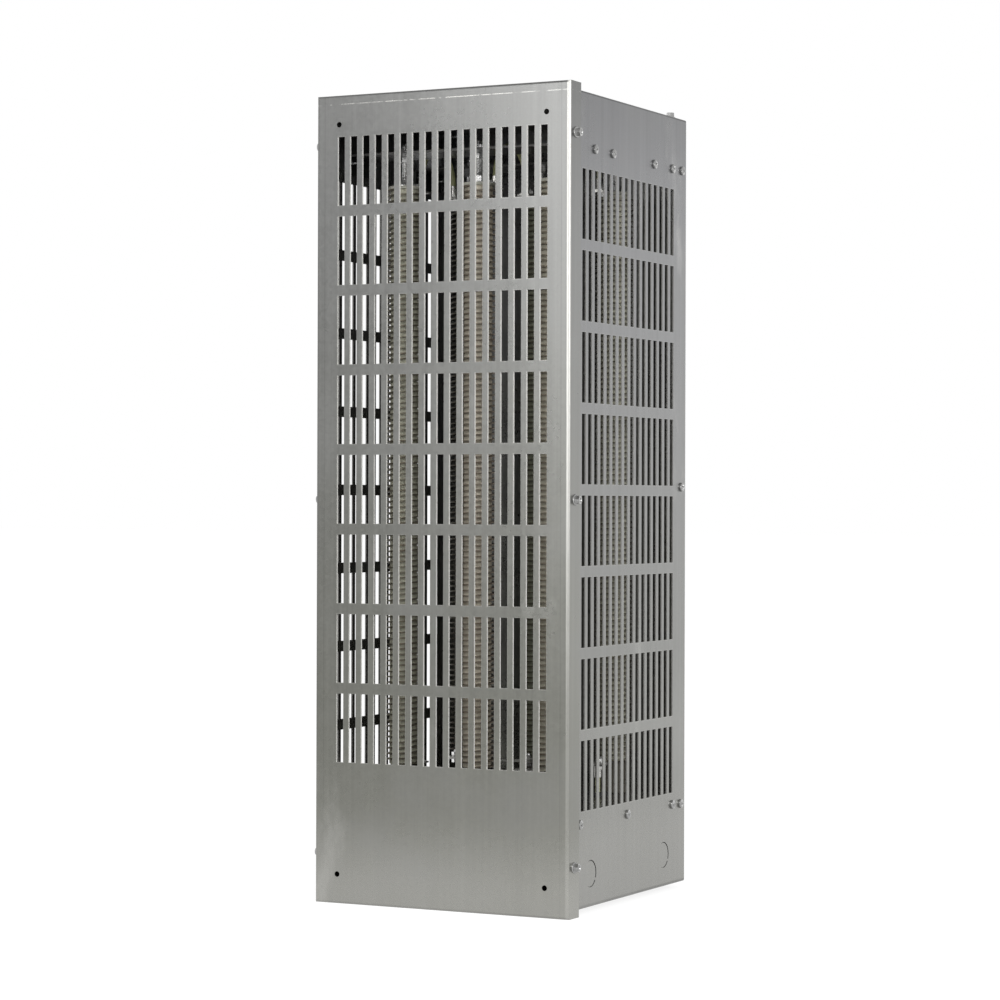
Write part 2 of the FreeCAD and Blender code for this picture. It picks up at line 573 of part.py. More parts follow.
def make_lower_shelf():
    body = new_body("lower_shelf")
    front = f"({CASE_FRONT} + Sizes.case_sheet + Sizes.lap_gap)"
    back = "(Sizes.case_depth - Sizes.case_sheet - Sizes.lap_gap)"
    make_tray(body, "Sizes.shelf_height", f"(({front} + {back}) / 2)", f"({back} - {front})",
              "Sizes.shelf_flange", "Sizes.shelf_sheet", "Sizes.shelf_bend")
    notches = new_sketch(body, "ShelfNotches", "top")
    width = "(2 * Sizes.lap_gap + Sizes.case_sheet)"
    for hand in (-1, 1):
        add_rectangle(notches, f"({hand}) * {INNER_HALF}", "Sizes.case_depth - Sizes.back_flange / 2",
                      f"2 * {width}", "Sizes.back_flange + 2 * Sizes.lap_gap")
    pocket(body, notches, both_ways=True)
    holes = new_sketch(body, "ShelfHoles", "top", "Sizes.shelf_height")
    for column in (-1, 0, 1):
        for row in ("Sizes.front_row", "Sizes.rear_row"):
            add_circle(holes, f"({column}) * Sizes.column_pitch", row, ROD_HOLE)
    for x, y in (("-Sizes.column_pitch", FRONT_WIRE), ("Sizes.column_pitch", REAR_WIRE)):
        add_circle(holes, x, y, f"{GROMMET_NECK} + 2 * Sizes.grommet_gap")
    pocket(body, holes, "2 * Sizes.shelf_sheet")
    drill_sides(body, "ShelfScrewHoles", SHELF_SCREWS)


# Resistor elements

def make_tube(label, x, y, bottom, length, outside, bore=None):
    body = new_body(label, x, y)
    ring = new_sketch(body, "Ring", "top", bottom)
    add_circle(ring, "0", "0", outside)
    if bore:
        add_circle(ring, "0", "0", bore)
    pad(body, ring, length)


def make_ribbon(label, x, y):
    """Makes one ribbon: its turns as flat rings that a thin wall at the bore joins."""
    body = new_body(label, x, y)
    wall = new_sketch(body, "BoreWall", "top", "Sizes.coil_bottom")
    add_circle(wall, "0", "0", "Sizes.coil_bore + 2 * Sizes.ribbon_wall")
    add_circle(wall, "0", "0", "Sizes.coil_bore")
    pad(body, wall, "Sizes.coil_length")
    turn = new_sketch(body, "Turn", "top", "Sizes.coil_bottom")
    add_circle(turn, "0", "0", "Sizes.coil_diameter")
    add_circle(turn, "0", "0", "Sizes.coil_bore")
    first_turn = pad(body, turn, "Sizes.ribbon_thickness")
    turns = body.newObject("PartDesign::LinearPattern", "Turns")
    turns.Originals = [first_turn]
    turns.Direction = (turn, ["N_Axis"])
    turns.setExpression("Occurrences", "Sizes.ribbon_turns")
    turns.setExpression("Length", "Sizes.coil_length - Sizes.ribbon_thickness")
    body.Tip = turns
    document.recompute()
    return body


def copy_body(label, source, x, y):
    """Makes a body that follows another body's shape at a place of its own."""
    body = new_body(label, x, y)
    follower = body.newObject("PartDesign::FeatureBase", "Follower")
    follower.BaseFeature = source
    body.Tip = follower
    document.recompute()
    return body


def make_elements():
    """Makes the ribbon, ceramic core and tie rod of each of the six elements."""
    core_diameter = "Sizes.coil_bore - 2 * Sizes.core_gap"
    rod_bottom = f"{SHELF_UNDER} - Sizes.nut_height - Sizes.rod_stub"
    rod_top = "Sizes.bracket_height + Sizes.nut_height + Sizes.rod_stub"
    ribbon = None
    for row_name, row in (("front", "Sizes.front_row"), ("rear", "Sizes.rear_row")):
        for column_name, column in (("left", -1), ("middle", 0), ("right", 1)):
            place = f"{row_name}_{column_name}"
            x = f"({column}) * Sizes.column_pitch"
            if ribbon:
                copy_body(f"ribbon_{place}", ribbon, x, row)
            else:
                ribbon = make_ribbon(f"ribbon_{place}", x, row)
            make_tube(f"core_{place}", x, row, "Sizes.coil_bottom", "Sizes.coil_length",
                      core_diameter, ROD_HOLE)
            make_tube(f"tie_rod_{place}", x, row, rod_bottom, f"({rod_top}) - ({rod_bottom})",
                      "Sizes.rod_diameter")


def make_nuts(label, bottom):
    body = new_body(label, "-Sizes.column_pitch", "Sizes.front_row")
    outline = new_sketch(body, "Nut", "top", bottom)
    add_hexagon(outline, "0", "0", "Sizes.nut_flats")
    add_circle(outline, "0", "0", "Sizes.rod_diameter + 2 * Sizes.thread_gap")
    repeat_at_elements(body, [pad(body, outline, "Sizes.nut_height")], outline)


def make_rings(label, bottom, height, diameter):
    """Makes the flat discs that lie on all six elements."""
    body = new_body(label, "-Sizes.column_pitch", "Sizes.front_row")
    ring = new_sketch(body, "Disc", "top", bottom)
    add_circle(ring, "0", "0", diameter)
    add_circle(ring, "0", "0", ROD_HOLE)
    repeat_at_elements(body, [pad(body, ring, height)], ring)


def make_lower_insulators():
    body = new_body("lower_insulators", "-Sizes.column_pitch", "Sizes.front_row")
    foot = new_sketch(body, "Foot", "top", "Sizes.shelf_height")
    neck = new_sketch(body, "Neck", "top", "Sizes.shelf_height + Sizes.foot_height")
    for sketch, diameter in ((foot, "Sizes.foot_diameter"), (neck, "Sizes.foot_neck")):
        add_circle(sketch, "0", "0", diameter)
        add_circle(sketch, "0", "0", ROD_HOLE)
    neck_height = "Sizes.coil_bottom - Sizes.shelf_height - Sizes.foot_height"
    parts = [pad(body, foot, "Sizes.foot_height"), pad(body, neck, neck_height)]
    repeat_at_elements(body, parts, foot)


# Terminals and wiring

def facing_rows(formula):
    """Gives the Y of something on the front row's lugs and of its match on the rear row's."""
    return f"Sizes.front_row + {formula}", f"Sizes.rear_row - {formula}"


def make_lugs(label, bottom, insulator):
    """Makes the terminal lugs of one end: strips that reach inward from the ribbon's end turn."""
    body = new_body(label, "-Sizes.column_pitch")
    strip = new_sketch(body, "Lug", "top", bottom)
    inner = f"({insulator} / 2 + Sizes.lug_inner_gap)"
    for y in facing_rows(f"({inner} + Sizes.lug_reach) / 2"):
        add_rectangle(strip, "0", y, "Sizes.lug_width", f"Sizes.lug_reach - {inner}")
    for y in facing_rows("Sizes.bolt_reach"):
        add_circle(strip, "0", y, BOLT_HOLE)
    repeat(body, [pad(body, strip, "Sizes.lug_sheet")], strip, ("3", "Sizes.column_pitch"))


def make_terminal_bolts(label, seat, stack):
    """Makes the bolts of one end: the head under the seat, the shank up through the stack."""
    bolts = new_body(label, "-Sizes.column_pitch")
    heads = new_sketch(bolts, "BoltHead", "top", seat)
    shanks = new_sketch(bolts, "BoltShank", "top", seat)
    nuts = new_body(label.replace("bolts", "nuts"), "-Sizes.column_pitch")
    nut = new_sketch(nuts, "BoltNut", "top", f"{seat} + {stack}")
    for y in facing_rows("Sizes.bolt_reach"):
        add_hexagon(heads, "0", y, "Sizes.bolt_flats")
        add_circle(shanks, "0", y, "Sizes.bolt_shank")
        add_hexagon(nut, "0", y, "Sizes.bolt_flats")
        add_circle(nut, "0", y, BOLT_HOLE)
    parts = [pad(bolts, heads, "Sizes.bolt_head_height", reverse=True),
             pad(bolts, shanks, f"{stack} + Sizes.bolt_head_height + Sizes.bolt_tail")]
    repeat(bolts, parts, heads, ("3", "Sizes.column_pitch"))
    repeat(nuts, [pad(nuts, nut, "Sizes.bolt_head_height")], nut, ("3", "Sizes.column_pitch"))


def draw_ring_terminal(sketch, x, bolt, wire):
    """Draws the flat of a ring terminal from behind its bolt to beyond its wire."""
    add_rectangle(sketch, x, f"(({bolt}) + ({wire})) / 2", "Sizes.ring_width",
                  "(Sizes.wire_reach - Sizes.bolt_reach) + Sizes.ring_width")
    add_circle(sketch, x, bolt, BOLT_HOLE)


def make_jumpers():
    """Makes the three wires that arch from the front row to the rear row, and their terminals."""
    terminals = new_body("jumper_terminals", "-Sizes.column_pitch")
    seat = f"({COIL_TOP} + Sizes.lug_sheet)"
    flats = new_sketch(terminals, "RingFlat", "top", seat)
    barrels = new_sketch(terminals, "CrimpBarrel", "top", f"{seat} + Sizes.ring_sheet")
    sockets = new_sketch(terminals, "CrimpSocket", "top",
                         f"{seat} + Sizes.ring_sheet + Sizes.crimp_height")
    for bolt, wire in zip(facing_rows("Sizes.bolt_reach"), facing_rows("Sizes.wire_reach")):
        draw_ring_terminal(flats, "0", bolt, wire)
        add_circle(barrels, "0", wire, "Sizes.crimp_diameter")
        add_circle(sockets, "0", wire, "Sizes.wire_diameter")
    parts = [pad(terminals, flats, "Sizes.ring_sheet"),
             pad(terminals, barrels, "Sizes.crimp_height"),
             pocket(terminals, sockets, "Sizes.crimp_seat")]
    repeat(terminals, parts, flats, ("3", "Sizes.column_pitch"))

    wires = new_body("jumper_wires", "-Sizes.column_pitch", ROW_MIDDLE,
                     f"{seat} + Sizes.ring_sheet + Sizes.crimp_height")
    half_span = f"({ROW_SPACING} / 2 - Sizes.wire_reach)"
    section = new_sketch(wires, "WireSection", "top")
    add_circle(section, "0", f"-{half_span}", "Sizes.wire_diameter")
    arch = revolve(wires, section, "H_Axis", 180)
    tails = new_sketch(wires, "WireTails", "top")
    for side in (-1, 1):
        add_circle(tails, "0", f"({side}) * {half_span}", "Sizes.wire_diameter")
    parts = [arch, pad(wires, tails, "Sizes.crimp_seat", reverse=True)]
    repeat(wires, parts, section, ("3", "Sizes.column_pitch"))


def make_link_bars():
    """Makes the two bars that join neighbouring elements at their lower ends."""
    body = new_body("link_bars")
    bars = new_sketch(body, "Bars", "top", "Sizes.coil_bottom - Sizes.lug_sheet")
    for side, y in zip((1, -1), facing_rows("Sizes.bolt_reach")):
        middle = f"({side}) * Sizes.column_pitch / 2"
        add_rectangle(bars, middle, y, "Sizes.column_pitch + Sizes.lug_width", "Sizes.lug_width")
        for end in (-1, 1):
            add_circle(bars, f"{middle} + ({end}) * Sizes.column_pitch / 2", y, BOLT_HOLE)
    pad(body, bars, "Sizes.lug_sheet", reverse=True)


def make_lead_terminal(body, side_name, drop_x, row_wire, bolt):
    """Makes the ring terminal that hangs a supply lead from its lower lug."""
    seat = "(Sizes.coil_bottom - Sizes.lug_sheet)"
    flat = new_sketch(body, f"{side_name}RingFlat", "top", seat)
    draw_ring_terminal(flat, drop_x, bolt, row_wire)
    pad(body, flat, "Sizes.lug_sheet", reverse=True)
    barrel = new_sketch(body, f"{side_name}Barrel", "top", f"{seat} - Sizes.lug_sheet")
    add_circle(barrel, drop_x, row_wire, "Sizes.crimp_diameter")
    pad(body, barrel, "Sizes.crimp_height", reverse=True)
    socket = new_sketch(body, f"{side_name}Socket", "top", LEAD_BARREL_END)
    add_circle(socket, drop_x, row_wire, "Sizes.wire_diameter")
    pocket(body, socket, "Sizes.crimp_seat", reverse=True)


def make_grommet(body, side_name, drop_x, row_wire):
    levels = (("UpperCollar", "Sizes.shelf_height", "Sizes.grommet_diameter", "Sizes.grommet_collar"),
              ("Neck", SHELF_UNDER, GROMMET_NECK, "Sizes.shelf_sheet"),
              ("LowerCollar", f"{SHELF_UNDER} - Sizes.grommet_collar", "Sizes.grommet_diameter",
               "Sizes.grommet_collar"))
    for name, bottom, diameter, height in levels:
        ring = new_sketch(body, side_name + name, "top", bottom)
        add_circle(ring, drop_x, row_wire, diameter)
        add_circle(ring, drop_x, row_wire, GROMMET_BORE)
        pad(body, ring, height)


def make_lead_wire(side_name, hand, drop_x, row_wire):
    """Makes a supply lead: it drops through the shelf, bends and runs level to its pole."""
    reach_x = f"(({hand}) * Sizes.pole_pitch - {drop_x})"
    reach_y = f"(Sizes.block_setback + Sizes.clamp_screw_spread / 2 - {row_wire})"
    reach = f"sqrt({reach_x} ^ 2 + {reach_y} ^ 2)"
    bend_z = f"({CLAMP_LEVEL} + {WIRE_RADIUS} + Sizes.lead_bend)"
    wire = new_body(f"{side_name}_lead_wire", f"{drop_x} + Sizes.lead_bend * {reach_x} / {reach}",
                    f"{row_wire} + Sizes.lead_bend * {reach_y} / {reach}", bend_z)
    wire.setExpression(".Placement.Rotation.Angle", f"atan2({reach_y}; {reach_x})")
    drop = new_sketch(wire, "Drop", "top")
    add_circle(drop, "-Sizes.lead_bend", "0", "Sizes.wire_diameter")
    pad(wire, drop, f"{LEAD_BARREL_END} + Sizes.crimp_seat - {bend_z}")
    section = new_sketch(wire, "ElbowSection", "top")
    add_circle(section, "-Sizes.lead_bend", "0", "Sizes.wire_diameter")
    revolve(wire, section, "V_Axis", 90)
    run = new_sketch(wire, "LevelRun", "side")
    add_circle(run, "0", "-Sizes.lead_bend", "Sizes.wire_diameter")
    pad(wire, run, f"{reach} - Sizes.lead_bend - Sizes.clamp_screw / 2 - Sizes.lead_clamp_gap")


def make_supply_leads():
    """Makes the two leads from the ends of the series circuit to the terminal block."""
    terminals = new_body("lead_terminals")
    grommets = new_body("shelf_grommets")
    ends = (("left", -1, FRONT_WIRE, "Sizes.front_row + Sizes.bolt_reach"),
            ("right", 1, REAR_WIRE, "Sizes.rear_row - Sizes.bolt_reach"))
    for side_name, hand, row_wire, bolt in ends:
        drop_x = f"({hand}) * Sizes.column_pitch"
        make_lead_terminal(terminals, side_name, drop_x, row_wire, bolt)
        make_grommet(grommets, side_name, drop_x, row_wire)
        make_lead_wire(side_name, hand, drop_x, row_wire)


def make_terminal_block():
    """Makes the three-pole block on the case floor, its clamp plates and its clamp screws."""
    block = new_body("terminal_block", y="Sizes.block_setback", z=FLOOR)
    base = new_sketch(block, "BlockBase", "top")
    block_length = "3 * Sizes.pole_pitch + Sizes.barrier_width + 2 * Sizes.block_ear"
    add_rectangle(base, "0", "0", block_length, "Sizes.block_depth")
    pad(block, base, "Sizes.block_height")
    barrier = new_sketch(block, "Barrier", "top", "Sizes.block_height")
    for step in (-1.5, -0.5, 0.5, 1.5):
        add_rectangle(barrier, f"({step}) * Sizes.pole_pitch", "0", "Sizes.barrier_width",
                      "Sizes.block_depth")
    pad(block, barrier, "Sizes.barrier_height")

    plates = new_body("clamp_plates", y="Sizes.block_setback", z=FLOOR)
    plate = new_sketch(plates, "Plate", "top", "Sizes.block_height")
    screws = new_body("clamp_screws", y="Sizes.block_setback", z=CLAMP_LEVEL)
    head = new_sketch(screws, "ClampHead", "top")
    for pole in (-1, 0, 1):
        x = f"({pole}) * Sizes.pole_pitch"
        add_rectangle(plate, x, "0", "Sizes.plate_width",
                      "Sizes.block_depth - 2 * Sizes.plate_inset")
        for end in (-1, 1):
            add_circle(head, x, f"({end}) * Sizes.clamp_screw_spread / 2", "Sizes.clamp_screw")
    pad(plates, plate, "Sizes.plate_sheet")
    pad(screws, head, "Sizes.clamp_screw_height")


def make_ground_stud():
    stud = new_body("ground_stud", "Sizes.ground_offset", "Sizes.block_setback", FLOOR)
    rod = new_sketch(stud, "Stud", "top")
    add_circle(rod, "0", "0", "Sizes.ground_diameter")
    pad(stud, rod, "Sizes.ground_height")
    bore = "Sizes.ground_diameter + 2 * Sizes.thread_gap"
    nut = new_body("ground_nut", "Sizes.ground_offset", "Sizes.block_setback", FLOOR)
    washer = new_sketch(nut, "Flange", "top")
    add_circle(washer, "0", "0", "Sizes.ground_washer")
    add_circle(washer, "0", "0", bore)
    pad(nut, washer, "Sizes.washer_height")
    hexagon = new_sketch(nut, "Hexagon", "top", "Sizes.washer_height")
    add_hexagon(hexagon, "0", "0", "Sizes.ground_flats")
    add_circle(hexagon, "0", "0", bore)
    pad(nut, hexagon, "Sizes.ground_nut_height")


# Screws

HEAD_TAPER = -18


def pad_screws(body, side, face, places, hexagonal):
    """Pads the heads and shanks of the screws at these places of a face."""
    heads = new_sketch(body, "Heads", side, face)
    hexagons = new_sketch(body, "Hexagons", side, face) if hexagonal else None
    shanks = new_sketch(body, "Shanks", side, face)
    for u, v in places:
        add_circle(shanks, u, v, "Sizes.screw_shank")
        if hexagonal:
            add_circle(heads, u, v, "Sizes.hex_screw_washer")
            add_hexagon(hexagons, u, v, "Sizes.hex_screw_flats")
        else:
            add_circle(heads, u, v, "Sizes.screw_head")
    if hexagonal:
        parts = [pad(body, heads, "Sizes.hex_screw_washer_height"),
                 pad(body, hexagons, "Sizes.hex_screw_height")]
    else:
        parts = [pad(body, heads, "Sizes.screw_head_height", taper=HEAD_TAPER)]
    return parts + [pad(body, shanks, "Sizes.screw_grip", reverse=True)]


def make_side_screws(label, places, face, hexagonal=False):
    """Makes the screws at these places on the right side and their mirror images on the left."""
    body = new_body(label)
    mirror_to_left(body, pad_screws(body, "side", face, places, hexagonal))


def make_screws():
    make_side_screws("cover_screws", COVER_SCREWS, "Sizes.cover_width / 2", hexagonal=True)
    make_side_screws("back_screws", BACK_SCREWS, SIDE_OUT)
    make_side_screws("shelf_screws", SHELF_SCREWS, SIDE_OUT)
    make_side_screws("front_bracket_screws", FRONT_BRACKET_SCREWS, SIDE_OUT)
    make_side_screws("rear_bracket_screws", REAR_BRACKET_SCREWS, SIDE_OUT)
    pad_screws(new_body("top_screws"), "top", "Sizes.case_height", TOP_SCREWS, hexagonal=True)


# Checks and files

def check_pieces():
    """Stops the build where any object failed or any piece has no sound shape."""
    for item in document.Objects:
        if "Invalid" in item.State or "Error" in item.State:
            raise RuntimeError(f"{item.Name} of {item.Label} failed: {item.State}")
    for piece in pieces:
        if piece.Shape.isNull() or not piece.Shape.isValid() or not piece.Shape.Solids:
            raise RuntimeError(f"{piece.Label} has no sound shape")


def write_pieces():
    os.makedirs("parts", exist_ok=True)
    for piece in pieces:
        piece.Shape.exportStep(f"parts/{piece.Label}.step")


def main():
    fill_sheet()
    make_front_cover()
    make_side_panel("right_side_panel", 1)
    make_side_panel("left_side_panel", -1)
    make_lid("top_panel", True)
    make_lid("bottom_panel", False)
    make_back_panel()
    make_upper_bracket("upper_front_bracket", "Sizes.front_row", "0", FRONT_BRACKET_SCREWS)
    make_upper_bracket("upper_rear_bracket", "Sizes.rear_row", "Sizes.rear_bracket_shift",
                       REAR_BRACKET_SCREWS)
    make_lower_shelf()
    make_elements()
    make_nuts("outer_nuts", "Sizes.bracket_height")
    make_nuts("inner_nuts", "Sizes.bracket_height - Sizes.bracket_sheet - Sizes.nut_height")
    make_nuts("element_nuts", f"{WASHER_BASE} + Sizes.washer_height")
    make_nuts("shelf_nuts", f"{SHELF_UNDER} - Sizes.nut_height")
    make_rings("top_insulators", COIL_TOP, "Sizes.top_insulator_height",
               "Sizes.top_insulator_diameter")
    make_rings("element_washers", WASHER_BASE, "Sizes.washer_height", "Sizes.washer_diameter")
    make_lower_insulators()
    make_lugs("upper_lugs", COIL_TOP, "Sizes.top_insulator_diameter")
    make_lugs("lower_lugs", "Sizes.coil_bottom - Sizes.lug_sheet", "Sizes.foot_neck")
    make_terminal_bolts("upper_bolts", COIL_TOP, "(Sizes.lug_sheet + Sizes.ring_sheet)")
    make_terminal_bolts("lower_bolts", "(Sizes.coil_bottom - 2 * Sizes.lug_sheet)",
                        "(2 * Sizes.lug_sheet)")
    make_jumpers()
    make_link_bars()
    make_supply_leads()
    make_terminal_block()
    make_ground_stud()
    make_screws()
    document.recompute()
    check_pieces()
    write_pieces()


main()
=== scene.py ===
import math
import random
from collections import namedtuple

import bmesh
import bpy
from mathutils import Matrix, Quaternion, Vector


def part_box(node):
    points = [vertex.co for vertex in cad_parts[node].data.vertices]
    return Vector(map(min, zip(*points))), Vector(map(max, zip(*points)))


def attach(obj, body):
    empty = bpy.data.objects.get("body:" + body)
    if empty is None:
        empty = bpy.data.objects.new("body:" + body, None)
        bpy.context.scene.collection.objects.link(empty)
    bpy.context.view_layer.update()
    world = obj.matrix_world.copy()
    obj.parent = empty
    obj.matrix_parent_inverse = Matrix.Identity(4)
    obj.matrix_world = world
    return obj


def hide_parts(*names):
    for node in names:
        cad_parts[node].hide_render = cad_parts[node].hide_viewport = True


# A ventilated braking resistor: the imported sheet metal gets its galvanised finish, and the wound
# ribbons, ceramics, rods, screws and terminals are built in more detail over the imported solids.

bl_info = {
    "name": "Braking Resistor",
    "version": (1, 0, 0),
    "blender": (4, 5, 0),
    "location": "3D View > Sidebar > Resistor",
    "description": "Builds the detail and the finishes of a ventilated braking resistor",
    "category": "Object",
}

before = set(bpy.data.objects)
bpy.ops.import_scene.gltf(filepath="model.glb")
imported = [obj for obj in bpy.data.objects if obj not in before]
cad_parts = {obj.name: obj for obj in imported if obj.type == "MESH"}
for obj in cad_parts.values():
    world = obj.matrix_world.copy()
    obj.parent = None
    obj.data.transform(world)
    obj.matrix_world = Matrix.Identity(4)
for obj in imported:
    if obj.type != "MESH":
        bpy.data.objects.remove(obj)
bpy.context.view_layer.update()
MM = 0.001


# Sizes that follow the CAD model

SLOT_PITCH = 12.7 * MM
SLOT_LENGTH = 61.8 * MM
ROW_PITCH = 71.58 * MM
ROWS = 8

# A grille: the axis that its sheet faces along, the place of its first column, the number of
# columns, half the width of a slot and the level of the top row's upper ends
Grille = namedtuple("Grille", "faces first columns half_width top")
COVER_GRILLE = Grille(1, -8 * SLOT_PITCH, 17, 3.5 * MM, 690.1 * MM)
SIDE_GRILLE = Grille(0, -7.5 * SLOT_PITCH, 16, 3.95 * MM, 654.0 * MM)

COIL_CLEARANCE = 0.1 * MM
ROD_HOLE = 3.5 * MM
NUT_FLATS = 11.1 * MM
NUT_BORE = 3.35 * MM
BOLT_FLATS = 8 * MM
BOLT_HEAD = 3.5 * MM
BOLT_NUT_BORE = 2.65 * MM
PAN_HEAD = 2.6 * MM
HEX_HEAD = 5.2 * MM
HEX_FLATS = 7.0 * MM
HEX_WASHER = 1.2 * MM

Thread = namedtuple("Thread", "radius depth pitch")
BOLT_THREAD = Thread(2.5 * MM, 0.4 * MM, 0.8 * MM)
SCREW_THREAD = Thread(1.9 * MM, 0.45 * MM, 1.41 * MM)

# The case's screws: the axis that they face along, and whether their heads are hexagons
CASE_SCREWS = (
    ("cover_screws", "X", True), ("back_screws", "X", False), ("shelf_screws", "X", False),
    ("front_bracket_screws", "X", False), ("rear_bracket_screws", "X", False),
    ("top_screws", "Z", True),
)


# What a user would change

class SheetFinish(bpy.types.PropertyGroup):
    zinc_colour: bpy.props.FloatVectorProperty(
        name="Zinc colour", description="Main colour of the galvanised sheet",
        subtype="COLOR", size=3, min=0, max=1, default=(0.172, 0.173, 0.169))
    # Also the colour of the painted highlights on the sheets' rounded corners.
    cut_and_highlight_colour: bpy.props.FloatVectorProperty(
        name="Cut edge colour", description="Colour of sheared edges and rubbed corners",
        subtype="COLOR", size=3, min=0, max=1, default=(0.86, 0.85, 0.81))
    spangle_size: bpy.props.FloatProperty(
        name="Spangle size", description="Width of one zinc crystal",
        unit="LENGTH", min=0.0005, max=0.05, default=0.0028)
    roughness: bpy.props.FloatProperty(
        name="Roughness", description="Mean roughness of the sheet",
        subtype="FACTOR", min=0, max=1, default=0.31)


class CoilSizes(bpy.types.PropertyGroup):
    turns: bpy.props.IntProperty(
        name="Turns", description="Turns of ribbon on one element", min=3, max=300, default=105)
    steps: bpy.props.IntProperty(
        name="Steps", description="Straight steps in one turn", min=12, max=96, default=40)
    strip_thickness: bpy.props.FloatProperty(
        name="Strip thickness", description="Thickness of the edge-wound strip",
        unit="LENGTH", min=0.0003, max=0.004, default=0.0013)
    strip_width: bpy.props.FloatProperty(
        name="Strip width", description="Width of the strip, from the core out to the rim",
        unit="LENGTH", min=0.001, max=0.02, default=0.0049)
    unevenness: bpy.props.FloatProperty(
        name="Unevenness", description="How far a turn strays from its even place",
        unit="LENGTH", min=0, max=0.002, default=0.00030)
    alloy_colour: bpy.props.FloatVectorProperty(
        name="Alloy colour", description="Colour of the wound ribbon",
        subtype="COLOR", size=3, min=0, max=1, default=(0.15, 0.14, 0.115))
    heat_colour: bpy.props.FloatVectorProperty(
        name="Heat tint", description="Tint that heat leaves on the ribbon",
        subtype="COLOR", size=3, min=0, max=1, default=(0.12, 0.095, 0.075))


class CeramicFinish(bpy.types.PropertyGroup):
    colour: bpy.props.FloatVectorProperty(
        name="Ceramic colour", description="Colour of the unglazed insulators",
        subtype="COLOR", size=3, min=0, max=1, default=(0.64, 0.63, 0.54))
    spool_radius: bpy.props.FloatProperty(
        name="Spool radius", description="Outside radius of the spools, just inside the ribbon",
        unit="LENGTH", min=0.004, max=0.03, default=0.0129)
    spool_length: bpy.props.FloatProperty(
        name="Spool length", description="Length of one spool in the stack inside a coil",
        unit="LENGTH", min=0.005, max=0.2, default=0.025)


class HardwareSizes(bpy.types.PropertyGroup):
    thread_pitch: bpy.props.FloatProperty(
        name="Thread pitch", description="Pitch of the tie rods' thread",
        unit="LENGTH", min=0.0005, max=0.004, default=0.00127)
    thread_depth: bpy.props.FloatProperty(
        name="Thread depth", description="Depth of that thread",
        unit="LENGTH", min=0.0001, max=0.002, default=0.00055)
    recess_depth: bpy.props.FloatProperty(
        name="Recess depth", description="Depth of the cross recess in a screw head",
        unit="LENGTH", min=0.0002, max=0.004, default=0.0013)
    zinc_colour: bpy.props.FloatVectorProperty(
        name="Plating colour", description="Colour of screws, nuts and rods",
        subtype="COLOR", size=3, min=0, max=1, default=(0.74, 0.74, 0.73))


class WiringFinish(bpy.types.PropertyGroup):
    insulation: bpy.props.FloatVectorProperty(
        name="Insulation", description="Colour of the wires' sleeves",
        subtype="COLOR", size=3, min=0, max=1, default=(0.56, 0.57, 0.30))
    tin_colour: bpy.props.FloatVectorProperty(
        name="Tin colour", description="Colour of the tinned terminals",
        subtype="COLOR", size=3, min=0, max=1, default=(0.66, 0.65, 0.62))
    block_colour: bpy.props.FloatVectorProperty(
        name="Block colour", description="Colour of the phenolic terminal block",
        subtype="COLOR", size=3, min=0, max=1, default=(0.035, 0.030, 0.027))


class StudioSettings(bpy.types.PropertyGroup):
    key_power: bpy.props.FloatProperty(
        name="Key lamp", description="Power of the lamp on the right",
        unit="POWER", min=0, max=500, default=45.0)
    front_power: bpy.props.FloatProperty(
        name="Front lamp", description="Power of the near soft lamp in front",
        unit="POWER", min=0, max=500, default=6.4)
    back_power: bpy.props.FloatProperty(
        name="Back lamp", description="Power of the wide lamp behind the right side",
        unit="POWER", min=0, max=500, default=2.3)
    room_light: bpy.props.FloatProperty(
        name="Room light", description="Even light from all round", min=0, max=2, default=0.55)


# Shader helpers

class Signal:
    """One socket of a node tree; arithmetic on it adds Math nodes."""

    def __init__(self, nodes, socket):
        self.nodes = nodes
        self.socket = socket

    def math(self, operation, *values):
        return self.nodes.add("ShaderNodeMath", {"operation": operation}, *values)

    def __add__(self, other):
        return self.math("ADD", self, other)

    def __radd__(self, other):
        return self.math("ADD", other, self)

    def __sub__(self, other):
        return self.math("SUBTRACT", self, other)

    def __rsub__(self, other):
        return self.math("SUBTRACT", other, self)

    def __mul__(self, other):
        return self.math("MULTIPLY", self, other)

    def __rmul__(self, other):
        return self.math("MULTIPLY", other, self)

    def __truediv__(self, other):
        return self.math("DIVIDE", self, other)

    def __abs__(self):
        return self.math("ABSOLUTE", self)

    def rounded(self):
        return self.math("ROUND", self)

    def at_least(self, other):
        return self.math("MAXIMUM", self, other)

    def at_most(self, other):
        return self.math("MINIMUM", self, other)

    def swing(self, amount):
        """Goes from minus half of amount to plus half of it while the signal goes from 0 to 1."""
        return amount * (self - 0.5)

    def step(self, low, high):
        """Rises smoothly from 0 at low to 1 at high, or falls where low is the larger."""
        falls = low > high
        start, end = (high, low) if falls else (low, high)
        settings = {"interpolation_type": "SMOOTHSTEP"}
        rise = self.nodes.add("ShaderNodeMapRange", settings, Value=self, From_Min=start, From_Max=end)
        return 1 - rise if falls else rise


